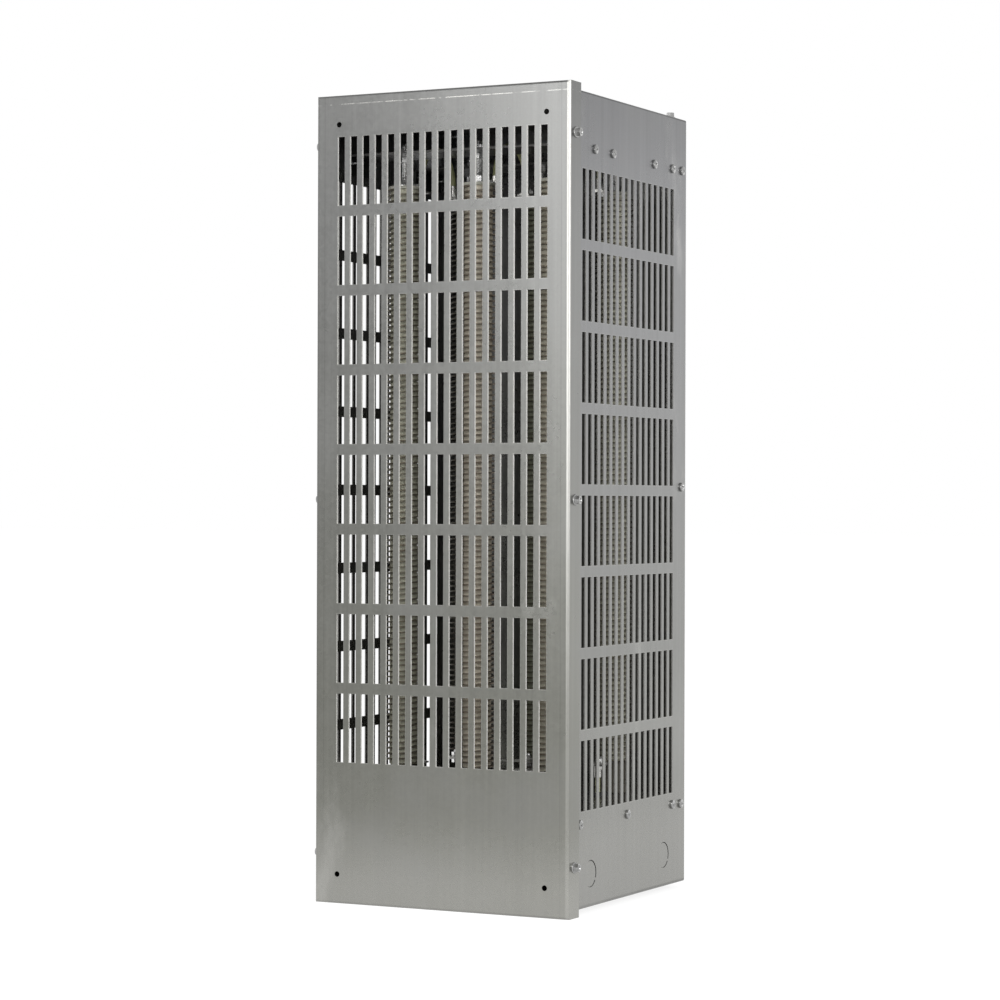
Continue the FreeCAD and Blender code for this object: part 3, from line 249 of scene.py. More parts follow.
class Nodes:
    """The nodes of a material or of the world, all added by one method."""

    def __init__(self, owner):
        owner.use_nodes = True
        self.tree = owner.node_tree

    def add(self, kind, settings=None, *values, output=None, **named):
        """Adds a node: its settings come first, then the values or links of its sockets."""
        made = self.tree.nodes.new(kind)
        for key, value in (settings or {}).items():
            setattr(made, key, value)
        for index, value in enumerate(values):
            self.feed(made.inputs[index], value)
        for key, value in named.items():
            self.feed(self.find(made.inputs, key), value)
        if output:
            return Signal(self, self.find(made.outputs, output))
        outputs = [socket for socket in made.outputs if socket.enabled]
        return Signal(self, outputs[0]) if outputs else None

    @staticmethod
    def find(sockets, key):
        wanted = key.replace("_", " ")
        for socket in sockets:
            if socket.enabled and wanted in (socket.name, socket.identifier.replace("_", " ")):
                return socket
        raise KeyError(f"there is no socket {key}")

    def feed(self, socket, value):
        if isinstance(value, Signal):
            self.tree.links.new(value.socket, socket)
        elif hasattr(value, "__len__") and socket.type == "RGBA" and len(value) == 3:
            socket.default_value = (*value, 1.0)
        else:
            socket.default_value = value


class Finish(Nodes):
    """A material in the making, with one Principled shader."""

    def __init__(self, name, roughness, metallic=0.0):
        self.material = bpy.data.materials.new(name)
        super().__init__(self.material)
        self.shader = next(n for n in self.tree.nodes if n.type == "BSDF_PRINCIPLED")
        self.set(Roughness=roughness, Metallic=metallic)

    def set(self, **named):
        for key, value in named.items():
            self.feed(self.find(self.shader.inputs, key), value)
        return self.material

    def place(self):
        """The point in the row frame, in metres."""
        return self.add("ShaderNodeTexCoord", output="Object")

    def split(self, vector):
        source = self.add("ShaderNodeSeparateXYZ", None, vector).socket.node
        return [Signal(self, source.outputs[axis]) for axis in range(3)]

    def stretch(self, vector, scale, shift=(0.0, 0.0, 0.0)):
        return self.add("ShaderNodeMapping", Vector=vector, Scale=scale, Location=shift)

    def noise(self, vector, scale, detail, roughness=0.5):
        return self.add("ShaderNodeTexNoise", Vector=vector, Scale=scale, Detail=detail,
                        Roughness=roughness)

    def crystals(self, vector, scale):
        cells = self.add("ShaderNodeTexVoronoi", Vector=vector, Scale=scale, output="Color")
        return self.split(cells)[0]

    def blend(self, factor, first, second, mode="MIX"):
        settings = {"data_type": "RGBA", "blend_type": mode, "clamp_factor": True}
        return self.add("ShaderNodeMix", settings, Factor_Float=factor, A_Color=first,
                        B_Color=second, output="Result_Color")

    def bump(self, height, distance, strength):
        return self.add("ShaderNodeBump", Height=height, Distance=distance, Strength=strength)

    def faces_along(self, axis):
        """1 where the surface faces along that axis, whatever the view."""
        normal = self.add("ShaderNodeNewGeometry", output="True_Normal")
        return abs(self.split(normal)[axis])


def scaled(colour, factor):
    return tuple(min(1.0, part * factor) for part in colour)


def tinted(colour, tint):
    return tuple(part * share for part, share in zip(colour, tint))


# Mesh helpers

def rings_to_mesh(name, groups):
    """Builds a mesh from groups of rings; each group is (rings, whether its ends are capped)."""
    points, faces = [], []
    for rings, capped in groups:
        around = len(rings[0])
        base = len(points)
        for ring in rings:
            points.extend(ring)
        for level in range(len(rings) - 1):
            low = base + level * around
            for step in range(around):
                following = (step + 1) % around
                faces.append((low + step, low + following,
                              low + around + following, low + around + step))
        if capped:
            last = base + (len(rings) - 1) * around
            faces.append(tuple(range(base + around - 1, base - 1, -1)))
            faces.append(tuple(range(last, last + around)))
    mesh = bpy.data.meshes.new(name)
    mesh.from_pydata([tuple(p) for p in points], [], faces)
    mesh.validate()
    return mesh


def fix_normals(mesh):
    shape = bmesh.new()
    shape.from_mesh(mesh)
    bmesh.ops.recalc_face_normals(shape, faces=shape.faces)
    shape.to_mesh(mesh)
    shape.free()


def add_piece(name, groups, material, node, sharp_angle=35):
    """Makes the object of a piece that rides on the box and stands for its CAD node. Edges that
    turn by more than sharp_angle, in degrees, stay sharp."""
    mesh = rings_to_mesh(name, groups)
    fix_normals(mesh)
    mesh.shade_smooth()
    mesh.set_sharp_from_angle(angle=math.radians(sharp_angle))
    mesh.materials.append(material)
    piece = bpy.data.objects.new(name, mesh)
    bpy.context.scene.collection.objects.link(piece)
    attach(piece, "root")
    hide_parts(node)


def carry_finish(nodes, material):
    """Gives CAD nodes that keep their shape a better material."""
    for node in nodes:
        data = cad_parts[node].data
        data.materials.clear()
        data.materials.append(material)


def solids_of(node):
    """The box of each separate solid in a CAD node, as (lowest corner, highest corner)."""
    shape = bmesh.new()
    shape.from_mesh(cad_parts[node].data)
    bmesh.ops.remove_doubles(shape, verts=shape.verts, dist=1e-6)
    unseen = set(shape.verts)
    boxes = []
    while unseen:
        todo = [unseen.pop()]
        found = []
        while todo:
            vertex = todo.pop()
            found.append(vertex.co.copy())
            for edge in vertex.link_edges:
                other = edge.other_vert(vertex)
                if other in unseen:
                    unseen.discard(other)
                    todo.append(other)
        low = Vector([min(p[axis] for p in found) for axis in range(3)])
        high = Vector([max(p[axis] for p in found) for axis in range(3)])
        boxes.append((low, high))
    shape.free()
    return sorted(boxes, key=lambda box: (round(box[0].z, 4), round(box[0].y, 4), box[0].x))


def radius_of(box):
    return (box[1].x - box[0].x) / 2


def axis_of(box):
    """The point on the floor under the middle of a box."""
    middle = (box[0] + box[1]) / 2
    return Vector((middle.x, middle.y, 0))


def circle_ring(radius, height, steps):
    return [Vector((radius * math.cos(2 * math.pi * i / steps),
                    radius * math.sin(2 * math.pi * i / steps), height)) for i in range(steps)]


def turned(profile, steps):
    """Rings of a shape turned about Z from a closed list of (radius, height)."""
    return [circle_ring(radius, height, steps) for radius, height in profile + profile[:1]]


def moved(rings, place, turn=None):
    return [[place + (turn @ point if turn else point) for point in ring] for ring in rings]


def rounded_ring(box, corner, steps):
    """A group for a disc or washer round a tie rod, with small rounded corners."""
    low, high = box[0].z, box[1].z
    outside = radius_of(box)
    cut = corner * 0.3
    profile = [(ROD_HOLE, low + corner), (ROD_HOLE + corner, low), (outside - corner, low),
               (outside - cut, low + cut), (outside, low + corner), (outside, high - corner),
               (outside - cut, high - cut), (outside - corner, high), (ROD_HOLE + corner, high),
               (ROD_HOLE, high - corner)]
    return moved(turned(profile, steps), axis_of(box)), False


def hexagon_ring(flats, steps, chamfer_radius, height, slope):
    """A hexagon's outline whose corners drop along a cone, as on a chamfered nut."""
    ring = []
    for i in range(steps):
        angle = 2 * math.pi * i / steps
        within = (angle + math.pi / 6) % (math.pi / 3) - math.pi / 6
        radius = flats / 2 / math.cos(within)
        drop = max(0.0, radius - chamfer_radius) * slope
        ring.append(Vector((radius * math.cos(angle), radius * math.sin(angle), height - drop)))
    return ring


def nut_rings(flats, bore, low, high):
    """Closed rings of a nut with both faces chamfered; its flats face along X."""
    steps = 48
    edge = flats / 2 * 0.97
    slope = 0.55
    lead = 0.4 * MM
    return [circle_ring(bore, low + lead, steps),
            circle_ring(bore + lead, low, steps),
            circle_ring(edge, low, steps),
            hexagon_ring(flats, steps, edge, low, -slope),
            hexagon_ring(flats, steps, edge, high, slope),
            circle_ring(edge, high, steps),
            circle_ring(bore + lead, high, steps),
            circle_ring(bore, high - lead, steps),
            circle_ring(bore, low + lead, steps)]


def thread_rings(thread, low, high, steps):
    """Rings of a screw thread that climbs as it turns."""
    radius, depth, pitch = thread
    levels_in_a_turn = 5
    count = max(2, round((high - low) / pitch * levels_in_a_turn))
    rings = []
    for level in range(count + 1):
        height = low + (high - low) * level / count
        ring = []
        for i in range(steps):
            phase = (height / pitch - i / steps) % 1.0
            reach = radius - depth * abs(2 * phase - 1)
            angle = 2 * math.pi * i / steps
            ring.append(Vector((reach * math.cos(angle), reach * math.sin(angle), height)))
        rings.append(ring)
    return rings


# Finishes

SHEET_METALLIC = 0.9

# How often the patterns that follow the sheet's upright grain repeat in a metre
STREAKS = (260, 260, 3.2)
BANDS = (75, 75, 1.3)
SMUDGES = (14, 14, 5)

# The tint of each element's coil and of the spools in it: the front middle one is lighter and pinker,
# its lightness painted light, and the rear ones are darker as painted shade
ELEMENT_TINTS_AND_SHADE = {
    "front_left": (1.0, 1.0, 0.93),
    "front_middle": (1.32, 1.23, 1.18),
    "front_right": (1.0, 0.96, 0.90),
    "rear_left": (0.45, 0.45, 0.42),
    "rear_middle": (0.48, 0.50, 0.43),
    "rear_right": (0.80, 0.80, 0.76),
}
# Painted shade: the feet under the coils are made much darker than the other ceramics
FEET_SHADE_TINT = (0.12, 0.11, 0.10)
GROMMET_BLACK = (0.03, 0.03, 0.03)


def slot_distance(across, up, grille):
    """Distance from the edge of the nearest slot, along the sheet, in metres."""
    half_length = SLOT_LENGTH / 2
    top_middle = grille.top - half_length
    column = ((across - grille.first) / SLOT_PITCH).rounded().at_least(0).at_most(grille.columns - 1)
    from_side = abs(across - (grille.first + column * SLOT_PITCH)) - grille.half_width
    row = ((top_middle - up) / ROW_PITCH).rounded().at_least(0).at_most(ROWS - 1)
    from_end = abs(up - (top_middle - row * ROW_PITCH)) - half_length
    return from_side.at_least(from_end)


def cover_rubs_and_painted_light(finish, x, y, z, grain):
    """The cover's pale rubbed line, a painted floor reflection that pales its lower part, a painted
    highlight on its rounded right-hand corner, and painted shade along its fold lines and its top and
    bottom ends.
    """
    low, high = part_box("front_cover")
    broken = finish.noise(grain, scale=70, detail=4, roughness=0.7).step(0.40, 0.54)
    line_level = high.z - 8.2 * MM
    line = abs(z - line_level).step(0.60 * MM, 0.15 * MM) * broken
    line = line * (0.8 - 0.45 * x.step(0.0, 100 * MM))
    # Painted reflection of the floor: the sheet gets paler towards the bottom.
    painted_floor_reflection = z.step(190 * MM, 60 * MM) * 0.09 + z.step(95 * MM, 8 * MM) * 0.30
    front = (y - low.y).step(2.6 * MM, 1.2 * MM)
    # Painted highlight on the rounded right-hand corner, weaker towards the bottom.
    painted_bend_highlight = (x - (high.x - 3.6 * MM)).step(0.0, 1.2 * MM) * front
    painted_bend_highlight = painted_bend_highlight * (0.10 + 0.46 * z.step(60 * MM, 560 * MM))
    # Painted shade along the two fold lines and along the top and bottom ends.
    fold_place = high.x - 8.4 * MM
    painted_fold_shade = abs(abs(x) - fold_place).step(0.5 * MM, 0.2 * MM) * 0.14
    ends = z.step(high.z - 1.5 * MM, high.z - 1.0 * MM) + z.step(2.8 * MM, 1.2 * MM)
    return line + painted_floor_reflection, painted_bend_highlight, painted_fold_shade + ends * front * 0.42


def side_painted_light(finish, x, y, z, grain):
    """A side panel's painted floor reflection that pales its lower part, a painted highlight on its
    rounded rear edge, and painted shade along its top and bottom ends.
    """
    low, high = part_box("right_side_panel")
    # Painted reflection of the floor: the sheet gets paler towards the bottom.
    painted_floor_reflection = z.step(230 * MM, 120 * MM) * 0.14 + z.step(120 * MM, 50 * MM) * 0.14
    # Painted highlight on the rounded rear edge.
    painted_bend_highlight = (y - (high.y - 1.2 * MM)).step(0.0, 0.8 * MM) * 0.35
    # Painted shade along the top and bottom ends.
    painted_top_shade = z.step(high.z - 2.4 * MM, high.z - 1.2 * MM) * 0.70
    painted_bottom_shade = z.step(low.z + 4.0 * MM, low.z + 1.6 * MM) * 0.85
    return painted_floor_reflection, painted_bend_highlight, painted_top_shade + painted_bottom_shade


def galvanised(name, sheet, shift, grille=None, marks_and_painted_light=None, cut_axis=None, shade=1.0, edge=1.0,
               cool=1.0, dull=0.0):
    """Zinc-coated sheet. Its sheared edges show beside a grille's slots, or where the sheet faces
    along cut_axis. marks gives what is rubbed pale on it, partly a painted floor reflection, and its
    painted highlights and painted shade; shift moves its patterns, shade and edge are the tones of
    its faces and edges, lowered on some sheets as painted shade, cool is how blue it is and dull adds
    to its roughness."""
    finish = Finish(name, sheet.roughness)
    place = finish.place()
    x, y, z = finish.split(place)
    grain = finish.stretch(place, (1, 1, 1), shift)
    spangle = finish.crystals(grain, 1 / sheet.spangle_size)
    fine = finish.noise(grain, scale=900, detail=2)
    cloud = finish.noise(grain, scale=9, detail=4, roughness=0.55)
    streaks = finish.noise(finish.stretch(place, STREAKS, shift), scale=1, detail=3, roughness=0.6)
    smudge = finish.noise(finish.stretch(place, SMUDGES, shift), scale=1, detail=5, roughness=0.62)
    bands = finish.noise(finish.stretch(place, BANDS, shift), scale=1, detail=3, roughness=0.6)
    tone = 1 + spangle.swing(0.06) + fine.swing(0.08) + cloud.swing(0.16)
    tone = (tone + streaks.swing(0.26) + bands.swing(0.26)) * shade
    wear_and_floor_sheen = smudge.step(0.62, 0.80) * 0.25
    height = spangle * 0.25 + fine * 0.25 + streaks * 0.35
    cut = None
    if grille:
        distance = slot_distance(x if grille.faces == 1 else y, z, grille)
        rim = distance.step(0.9 * MM, 0.1 * MM)
        wear_and_floor_sheen = wear_and_floor_sheen + rim * (0.05 + 0.25 * finish.noise(grain, scale=220, detail=2))
        height = height - rim * 1.6
        cut = finish.faces_along(grille.faces).step(0.5, 0.2) * distance.step(1.2 * MM, 0.3 * MM)
    elif cut_axis is not None:
        cut = finish.faces_along(cut_axis).step(0.5, 0.9)
    # The mark function adds pale rubbed places, among them a painted floor reflection, painted
    # highlights that take the cut edges' colour, and painted shade that darkens the tone.
    if marks_and_painted_light:
        rubbed, bright, painted_shade = marks_and_painted_light(finish, x, y, z, grain)
        wear_and_floor_sheen = wear_and_floor_sheen + rubbed
        cut = cut.at_least(bright)
        tone = tone * (1 - painted_shade)
    grey = finish.add("ShaderNodeCombineXYZ", None, tone, tone, tone)
    colour = finish.blend(1.0, sheet.zinc_colour, grey, "MULTIPLY")
    foot_tint = (1.0, 1.0, 0.90 * cool)
    top_tint = (1.0, 1.0, cool)
    tint = finish.blend(z.step(0.0, 700 * MM), foot_tint, top_tint)
    colour = finish.blend(1.0, colour, tint, "MULTIPLY")
    colour = finish.blend(cloud.step(0.45, 0.7) * 0.35, colour, scaled(sheet.zinc_colour, 1.12))
    colour = finish.blend(wear_and_floor_sheen.at_most(1.0), colour, scaled(sheet.cut_and_highlight_colour, 0.6))
    metallic = SHEET_METALLIC
    if cut is not None:
        colour = finish.blend(cut, colour, scaled(sheet.cut_and_highlight_colour, edge))
        metallic = SHEET_METALLIC * (1 - cut)
    rough = sheet.roughness + dull + cloud.swing(0.14) + spangle.swing(0.06) - 0.12 * wear_and_floor_sheen
    normal = finish.bump(height, distance=0.05 * MM, strength=0.3)
    return finish.set(Base_Color=colour, Roughness=rough, Metallic=metallic, Normal=normal)


def alloy(name, coil, tint):
    """Resistance ribbon: rolled strip with brown heat tints; tint is that of the one coil, which paints
    light on the front middle coil and shade on the rear coils.
    """
    finish = Finish(name, 0.40, 0.9)
    place = finish.place()
    patches = finish.noise(finish.stretch(place, (40, 40, 90)), scale=1, detail=3, roughness=0.6)
    rolled = finish.noise(finish.stretch(place, (500, 500, 2500)), scale=1, detail=2)
    specks = finish.noise(place, scale=1400, detail=2)
    heated = patches.step(0.42, 0.72)
    colour = finish.blend(heated * 0.7, coil.alloy_colour, coil.heat_colour)
    colour = finish.blend(specks.step(0.55, 0.8) * 0.4, colour, scaled(coil.alloy_colour, 1.35))
    colour = finish.blend(1.0, colour, tint, "MULTIPLY")
    rough = 0.36 + rolled.swing(0.22) + 0.10 * patches
    normal = finish.bump(rolled + specks * 0.6, distance=0.04 * MM, strength=0.5)
    return finish.set(Base_Color=colour, Roughness=rough, Normal=normal)


def plated(name, colour, roughness, metallic=1.0):
    """Bright zinc or tin plating with fingerprints and rubbed corners."""
    finish = Finish(name, roughness, metallic)
    place = finish.place()
    dull = finish.noise(place, scale=420, detail=3, roughness=0.6)
    scuffs = finish.noise(finish.stretch(place, (1500, 1500, 300)), scale=1, detail=2)
    ridge = finish.add("ShaderNodeNewGeometry", output="Pointiness")
    rubbed = ridge.step(0.51, 0.56)
    tone = finish.blend(dull.step(0.4, 0.75) * 0.5, colour, scaled(colour, 0.72))
    tone = finish.blend(rubbed * 0.6, tone, scaled(colour, 1.3))
    rough = roughness + 0.25 * (dull - 0.4) - 0.06 * rubbed
    normal = finish.bump(dull * 0.7 + scuffs * 0.4, distance=0.03 * MM, strength=0.5)
    return finish.set(Base_Color=tone, Roughness=rough, Normal=normal)


def ceramic(name, colour):
    """Unglazed ceramic with fine grains and faint stains."""
    finish = Finish(name, 0.72)
    place = finish.place()
    grains = finish.noise(place, scale=1800, detail=2, roughness=0.6)
    stains = finish.noise(place, scale=60, detail=4, roughness=0.6)
    tone = finish.blend(stains.step(0.5, 0.8) * 0.5, colour, scaled(colour, 0.70))
    tone = finish.blend(grains.step(0.62, 0.75) * 0.4, tone, scaled(colour, 0.55))
    rough = 0.70 + grains.swing(0.2)
    normal = finish.bump(grains + stains * 0.5, distance=0.05 * MM, strength=0.5)
    return finish.set(Base_Color=tone, Roughness=rough, Normal=normal)


def moulded(name, colour, roughness):
    """Rubber, sleeving or phenolic: a fine even texture, dust and pale rubbed places."""
    finish = Finish(name, roughness)
    place = finish.place()
    grain = finish.noise(place, scale=900, detail=3, roughness=0.6)
    dust = finish.noise(place, scale=45, detail=5, roughness=0.65)
    tone = finish.blend(dust.step(0.48, 0.8) * 0.45, colour, scaled(colour, 1.45))
    tone = finish.blend(grain.step(0.3, 0.7) * 0.25, tone, scaled(colour, 0.78))
    rough = roughness + dust.swing(0.18) + grain.swing(0.08)
    normal = finish.bump(grain, distance=0.05 * MM, strength=0.45)
    return finish.set(Base_Color=tone, Roughness=rough, Normal=normal)


# Which sheets share a finish, and how that finish differs from plain galvanised sheet
# On the side panels an edge tone of 0.35 paints shade on the cut edges of their slots.
SIDE_STYLE = {"grille": SIDE_GRILLE, "marks_and_painted_light": side_painted_light, "edge": 0.35, "cool": 1.05}
SHEETS = (
    ("cover", ["front_cover"], (0.3, 0.1, 0.7), {"grille": COVER_GRILLE, "marks_and_painted_light": cover_rubs_and_painted_light}),
    ("right_side", ["right_side_panel"], (1.7, 0.4, 0.2), SIDE_STYLE),
    ("left_side", ["left_side_panel"], (2.9, 1.3, 0.5), SIDE_STYLE),
    ("lids", ["top_panel", "bottom_panel"], (0.9, 2.2, 1.4), {"dull": 0.15}),
    ("back", ["back_panel"], (3.3, 0.8, 2.6), {}),
    # The brackets' low face and edge tones are painted shade on the same galvanised sheet inside the
    # case.
    ("brackets", ["upper_front_bracket", "upper_rear_bracket"], (4.1, 2.7, 0.3),
     {"cut_axis": 1, "shade": 0.22, "edge": 0.16}),
    ("shelf", ["lower_shelf"], (5.2, 1.9, 0.8), {"shade": 0.9}),
)


# Shapes of the pieces

def coil_rings(box, sizes, seed):
    """An edge-wound ribbon: one flat strip that climbs round its core."""
    chance = random.Random(seed)
    low, high = box
    centre = axis_of(box)
    outer = radius_of(box) - COIL_CLEARANCE
    inner = outer - sizes.strip_width
    half = sizes.strip_thickness / 2
    thick = Vector((0, 0, half))
    turns = sizes.turns
    deepest = 0.35 * MM
    end_share = 1 / 40
    stray = [chance.uniform(-1, 1) for _ in range(2 * turns + 3)]
    swell = [chance.uniform(-1, 0) for _ in range(2 * turns + 3)]
    count = turns * sizes.steps
    climb = high.z - low.z - 2 * half
    rings = []
    for step in range(count + 1):
        share = step / count
        place = share * 2 * turns
        whole = int(place)
        part = place - whole
        ease = part * part * (3 - 2 * part)
        fade = min(1.0, share / end_share, (1 - share) / end_share)
        wander = (stray[whole] * (1 - ease) + stray[whole + 1] * ease) * sizes.unevenness * fade
        reach = (swell[whole] * (1 - ease) + swell[whole + 1] * ease) * deepest
        angle = 2 * math.pi * turns * share - math.pi / 2
        out = Vector((math.cos(angle), math.sin(angle), 0))
        level = centre + Vector((0, 0, low.z + half + climb * share + wander))
        core_edge = level + out * (inner + reach)
        rim_edge = level + out * (outer + reach)
        rings.append([core_edge - thick, rim_edge - thick, rim_edge + thick, core_edge + thick])
    return rings


def spool_stack_rings(box, settings):
    """Ceramic spools stacked in a column, each with rounded ends."""
    low, high = box
    outside = settings.spool_radius
    rounding = ((0.9 * MM, 0.05 * MM), (0.15 * MM, 0.5 * MM), (0.0, 1.1 * MM))
    count = max(1, round((high.z - low.z) / settings.spool_length))
    each = (high.z - low.z) / count
    profile = [(ROD_HOLE, low.z)]
    for index in range(count):
        bottom = low.z + index * each
        top = bottom + each
        profile.extend((outside - inward, bottom + along) for inward, along in rounding)
        profile.extend((outside - inward, top - along) for inward, along in reversed(rounding))
    profile.append((ROD_HOLE, high.z))
    return moved(turned(profile, 32), axis_of(box))


def foot_rings(box):
    """A ceramic foot: a wide base with a rounded shoulder and a narrower neck."""
    low, high = box[0].z, box[1].z
    base = radius_of(box)
    neck = 12 * MM
    shoulder = low + 9 * MM
    profile = [(ROD_HOLE, low), (base - 0.8 * MM, low), (base, low + 0.8 * MM),
               (base, shoulder - 1.6 * MM), (base - 0.5 * MM, shoulder - 0.5 * MM),
               (base - 1.6 * MM, shoulder), (neck + 1.2 * MM, shoulder),
               (neck + 0.3 * MM, shoulder + 0.4 * MM), (neck, shoulder + 1.4 * MM),
               (neck, high - 0.8 * MM), (neck - 0.8 * MM, high), (ROD_HOLE, high)]
    return moved(turned(profile, 48), axis_of(box))


def rod_rings(box, sizes):
    """A tie rod with a thread on both ends and a chamfer at each tip."""
    low, high = box
    radius = radius_of(box)
    threaded = 45 * MM
    chamfer = 0.6 * MM
    thread = Thread(radius, sizes.thread_depth, sizes.thread_pitch)
    lower = thread_rings(thread, low.z + chamfer, low.z + threaded, 20)
    upper = thread_rings(thread, high.z - threaded, high.z - chamfer, 20)
    tips = [circle_ring(radius * 0.72, level, 20) for level in (low.z, high.z)]
    return moved([tips[0]] + lower + upper + [tips[1]], axis_of(box))


def nut_groups(node, flats, bore, chance=None):
    """A nut for each solid of a CAD node, turned at random where chance is given."""
    groups = []
    for box in solids_of(node):
        turn = Matrix.Rotation(chance.uniform(0, math.pi / 3), 3, "Z") if chance else None
        rings = nut_rings(flats, bore, box[0].z, box[1].z)
        groups.append((moved(rings, axis_of(box), turn), False))
    return groups


def bolt_groups(node):
    """A hexagon head below and a threaded shank above it for each solid of a CAD node."""
    groups = []
    for box in solids_of(node):
        low, high = box[0].z, box[1].z
        start = low + BOLT_HEAD - 0.2 * MM
        head = nut_rings(BOLT_FLATS, 0.6 * MM, low, low + BOLT_HEAD)
        shank = thread_rings(BOLT_THREAD, start, high - 0.4 * MM, 16)
        tip = [circle_ring(1.9 * MM, high, 16)]
        groups.append((moved(head, axis_of(box)), False))
        groups.append((moved(shank + tip, axis_of(box)), True))
    return groups


def cross_recess(x, y, half_width, reach):
    """How far inside a cross the point (x, y) is: 1 inside, 0 outside, with steep walls."""
    wall = 0.18 * MM
    best = 0.0
    for along, aside in ((abs(x), abs(y)), (abs(y), abs(x))):
        inside = min((half_width - aside) / wall, (reach - along) / wall) + 0.5
        best = max(best, min(1.0, max(0.0, inside)))
    return best


def pan_head_rings(radius, height, depth, turn):
    """Rings of a domed screw head with a cross recess, from its flat base outward along Z."""
    steps = 56
    arm_width = radius * 0.13
    arm_reach = radius * 0.56
    floor_reach = radius * 0.62
    dome_shares = (0.93, 0.84, 0.74, 0.66, 0.60, 0.54, 0.48, 0.42, 0.36, 0.30, 0.25, 0.20, 0.15, 0.10,
                   0.05)
    rings = [circle_ring(radius * 0.5, 0.0, steps), circle_ring(radius * 0.96, 0.0, steps),
             circle_ring(radius, height * 0.10, steps),
             circle_ring(radius * 0.985, height * 0.34, steps)]
    for share in dome_shares:
        dome = height * (0.60 + 0.40 * math.sqrt(max(0.0, 1 - (share / 0.97) ** 2)))
        ring = circle_ring(radius * share, dome, steps)
        for point in ring:
            x = point.x * math.cos(turn) - point.y * math.sin(turn)
            y = point.x * math.sin(turn) + point.y * math.cos(turn)
            fall = max(0.25, 1 - 0.75 * math.hypot(x, y) / floor_reach)
            point.z -= depth * cross_recess(x, y, arm_width, arm_reach) * fall
        rings.append(ring)
    return rings


def hexagon_head_rings(washer_radius, turn):
    """Rings of a hexagon head with its own washer, from the washer's seat outward along Z."""
    def spun(ring):
        return [Matrix.Rotation(turn, 3, "Z") @ point for point in ring]

    steps = 48
    edge = HEX_FLATS / 2 * 0.96
    return [circle_ring(washer_radius * 0.5, 0.0, steps), circle_ring(washer_radius, 0.0, steps),
            circle_ring(washer_radius, HEX_WASHER * 0.55, steps),
            circle_ring(washer_radius * 0.93, HEX_WASHER, steps),
            spun(hexagon_ring(HEX_FLATS * 1.04, steps, HEX_FLATS, HEX_WASHER, 0.0)),
            spun(hexagon_ring(HEX_FLATS, steps, HEX_FLATS, HEX_WASHER + 0.4 * MM, 0.0)),
            spun(hexagon_ring(HEX_FLATS, steps, edge, HEX_HEAD - 0.1 * MM, 0.6)),
            circle_ring(edge * 0.94, HEX_HEAD, steps), circle_ring(edge * 0.66, HEX_HEAD, steps),
            circle_ring(edge * 0.50, HEX_HEAD - 0.7 * MM, steps),
            circle_ring(edge * 0.15, HEX_HEAD - 0.8 * MM, steps)]


def screw_groups(node, outward, hexagonal, recess_depth, seed):
    """The heads and shanks of every screw in a CAD node; outward is the axis they face."""
    chance = random.Random(seed)
    head_height = HEX_HEAD if hexagonal else PAN_HEAD
    groups = []
    for low, high in solids_of(node):
        middle = (low + high) / 2
        if outward == "Z":
            radius = (high.x - low.x) / 2
            seat = Vector((middle.x, middle.y, high.z - head_height))
            turn = Matrix.Identity(3)
            length = high.z - low.z - head_height
        else:
            radius = (high.y - low.y) / 2
            hand = 1 if middle.x > 0 else -1
            face = high.x - head_height if hand > 0 else low.x + head_height
            seat = Vector((face, middle.y, middle.z))
            turn = Matrix.Rotation(hand * math.pi / 2, 3, "Y")
            length = high.x - low.x - head_height
        spin = chance.uniform(0, math.pi / 2)
        if hexagonal:
            head = hexagon_head_rings(radius, spin)
        else:
            head = pan_head_rings(radius, head_height, recess_depth, spin)
        shank = thread_rings(SCREW_THREAD, 2 * MM - length, 0.05 * MM, 16)
        tip = [circle_ring(0.5 * MM, -length, 16)]
        groups.append((moved(head, seat, turn), True))
        groups.append((moved(tip + shank, seat, turn), True))
    return groups


# Operators: one for each group of like pieces

class RESISTOR_OT_sheet_metal(bpy.types.Operator):
    """Give the cover, the panels, the brackets and the shelf their galvanised finish"""
    bl_idname = "resistor.sheet_metal"
    bl_label = "Sheet metal"

    def execute(self, context):
        sheet = context.scene.resistor_sheet
        for name, nodes, shift, style in SHEETS:
            carry_finish(nodes, galvanised(f"galvanised_{name}", sheet, shift, **style))
        return {"FINISHED"}


class RESISTOR_OT_coils(bpy.types.Operator):
    """Wind the six edge-wound ribbons round their cores"""
    bl_idname = "resistor.coils"
    bl_label = "Wound ribbons"

    def execute(self, context):
        sizes = context.scene.resistor_coils
        for seed, (element, tint) in enumerate(ELEMENT_TINTS_AND_SHADE.items(), 31):
            node = f"ribbon_{element}"
            material = alloy(f"resistance_alloy_{element}", sizes, tint)
            groups = [(coil_rings(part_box(node), sizes, seed), True)]
            add_piece(f"wound_{node}", groups, material, node, sharp_angle=30)
        return {"FINISHED"}


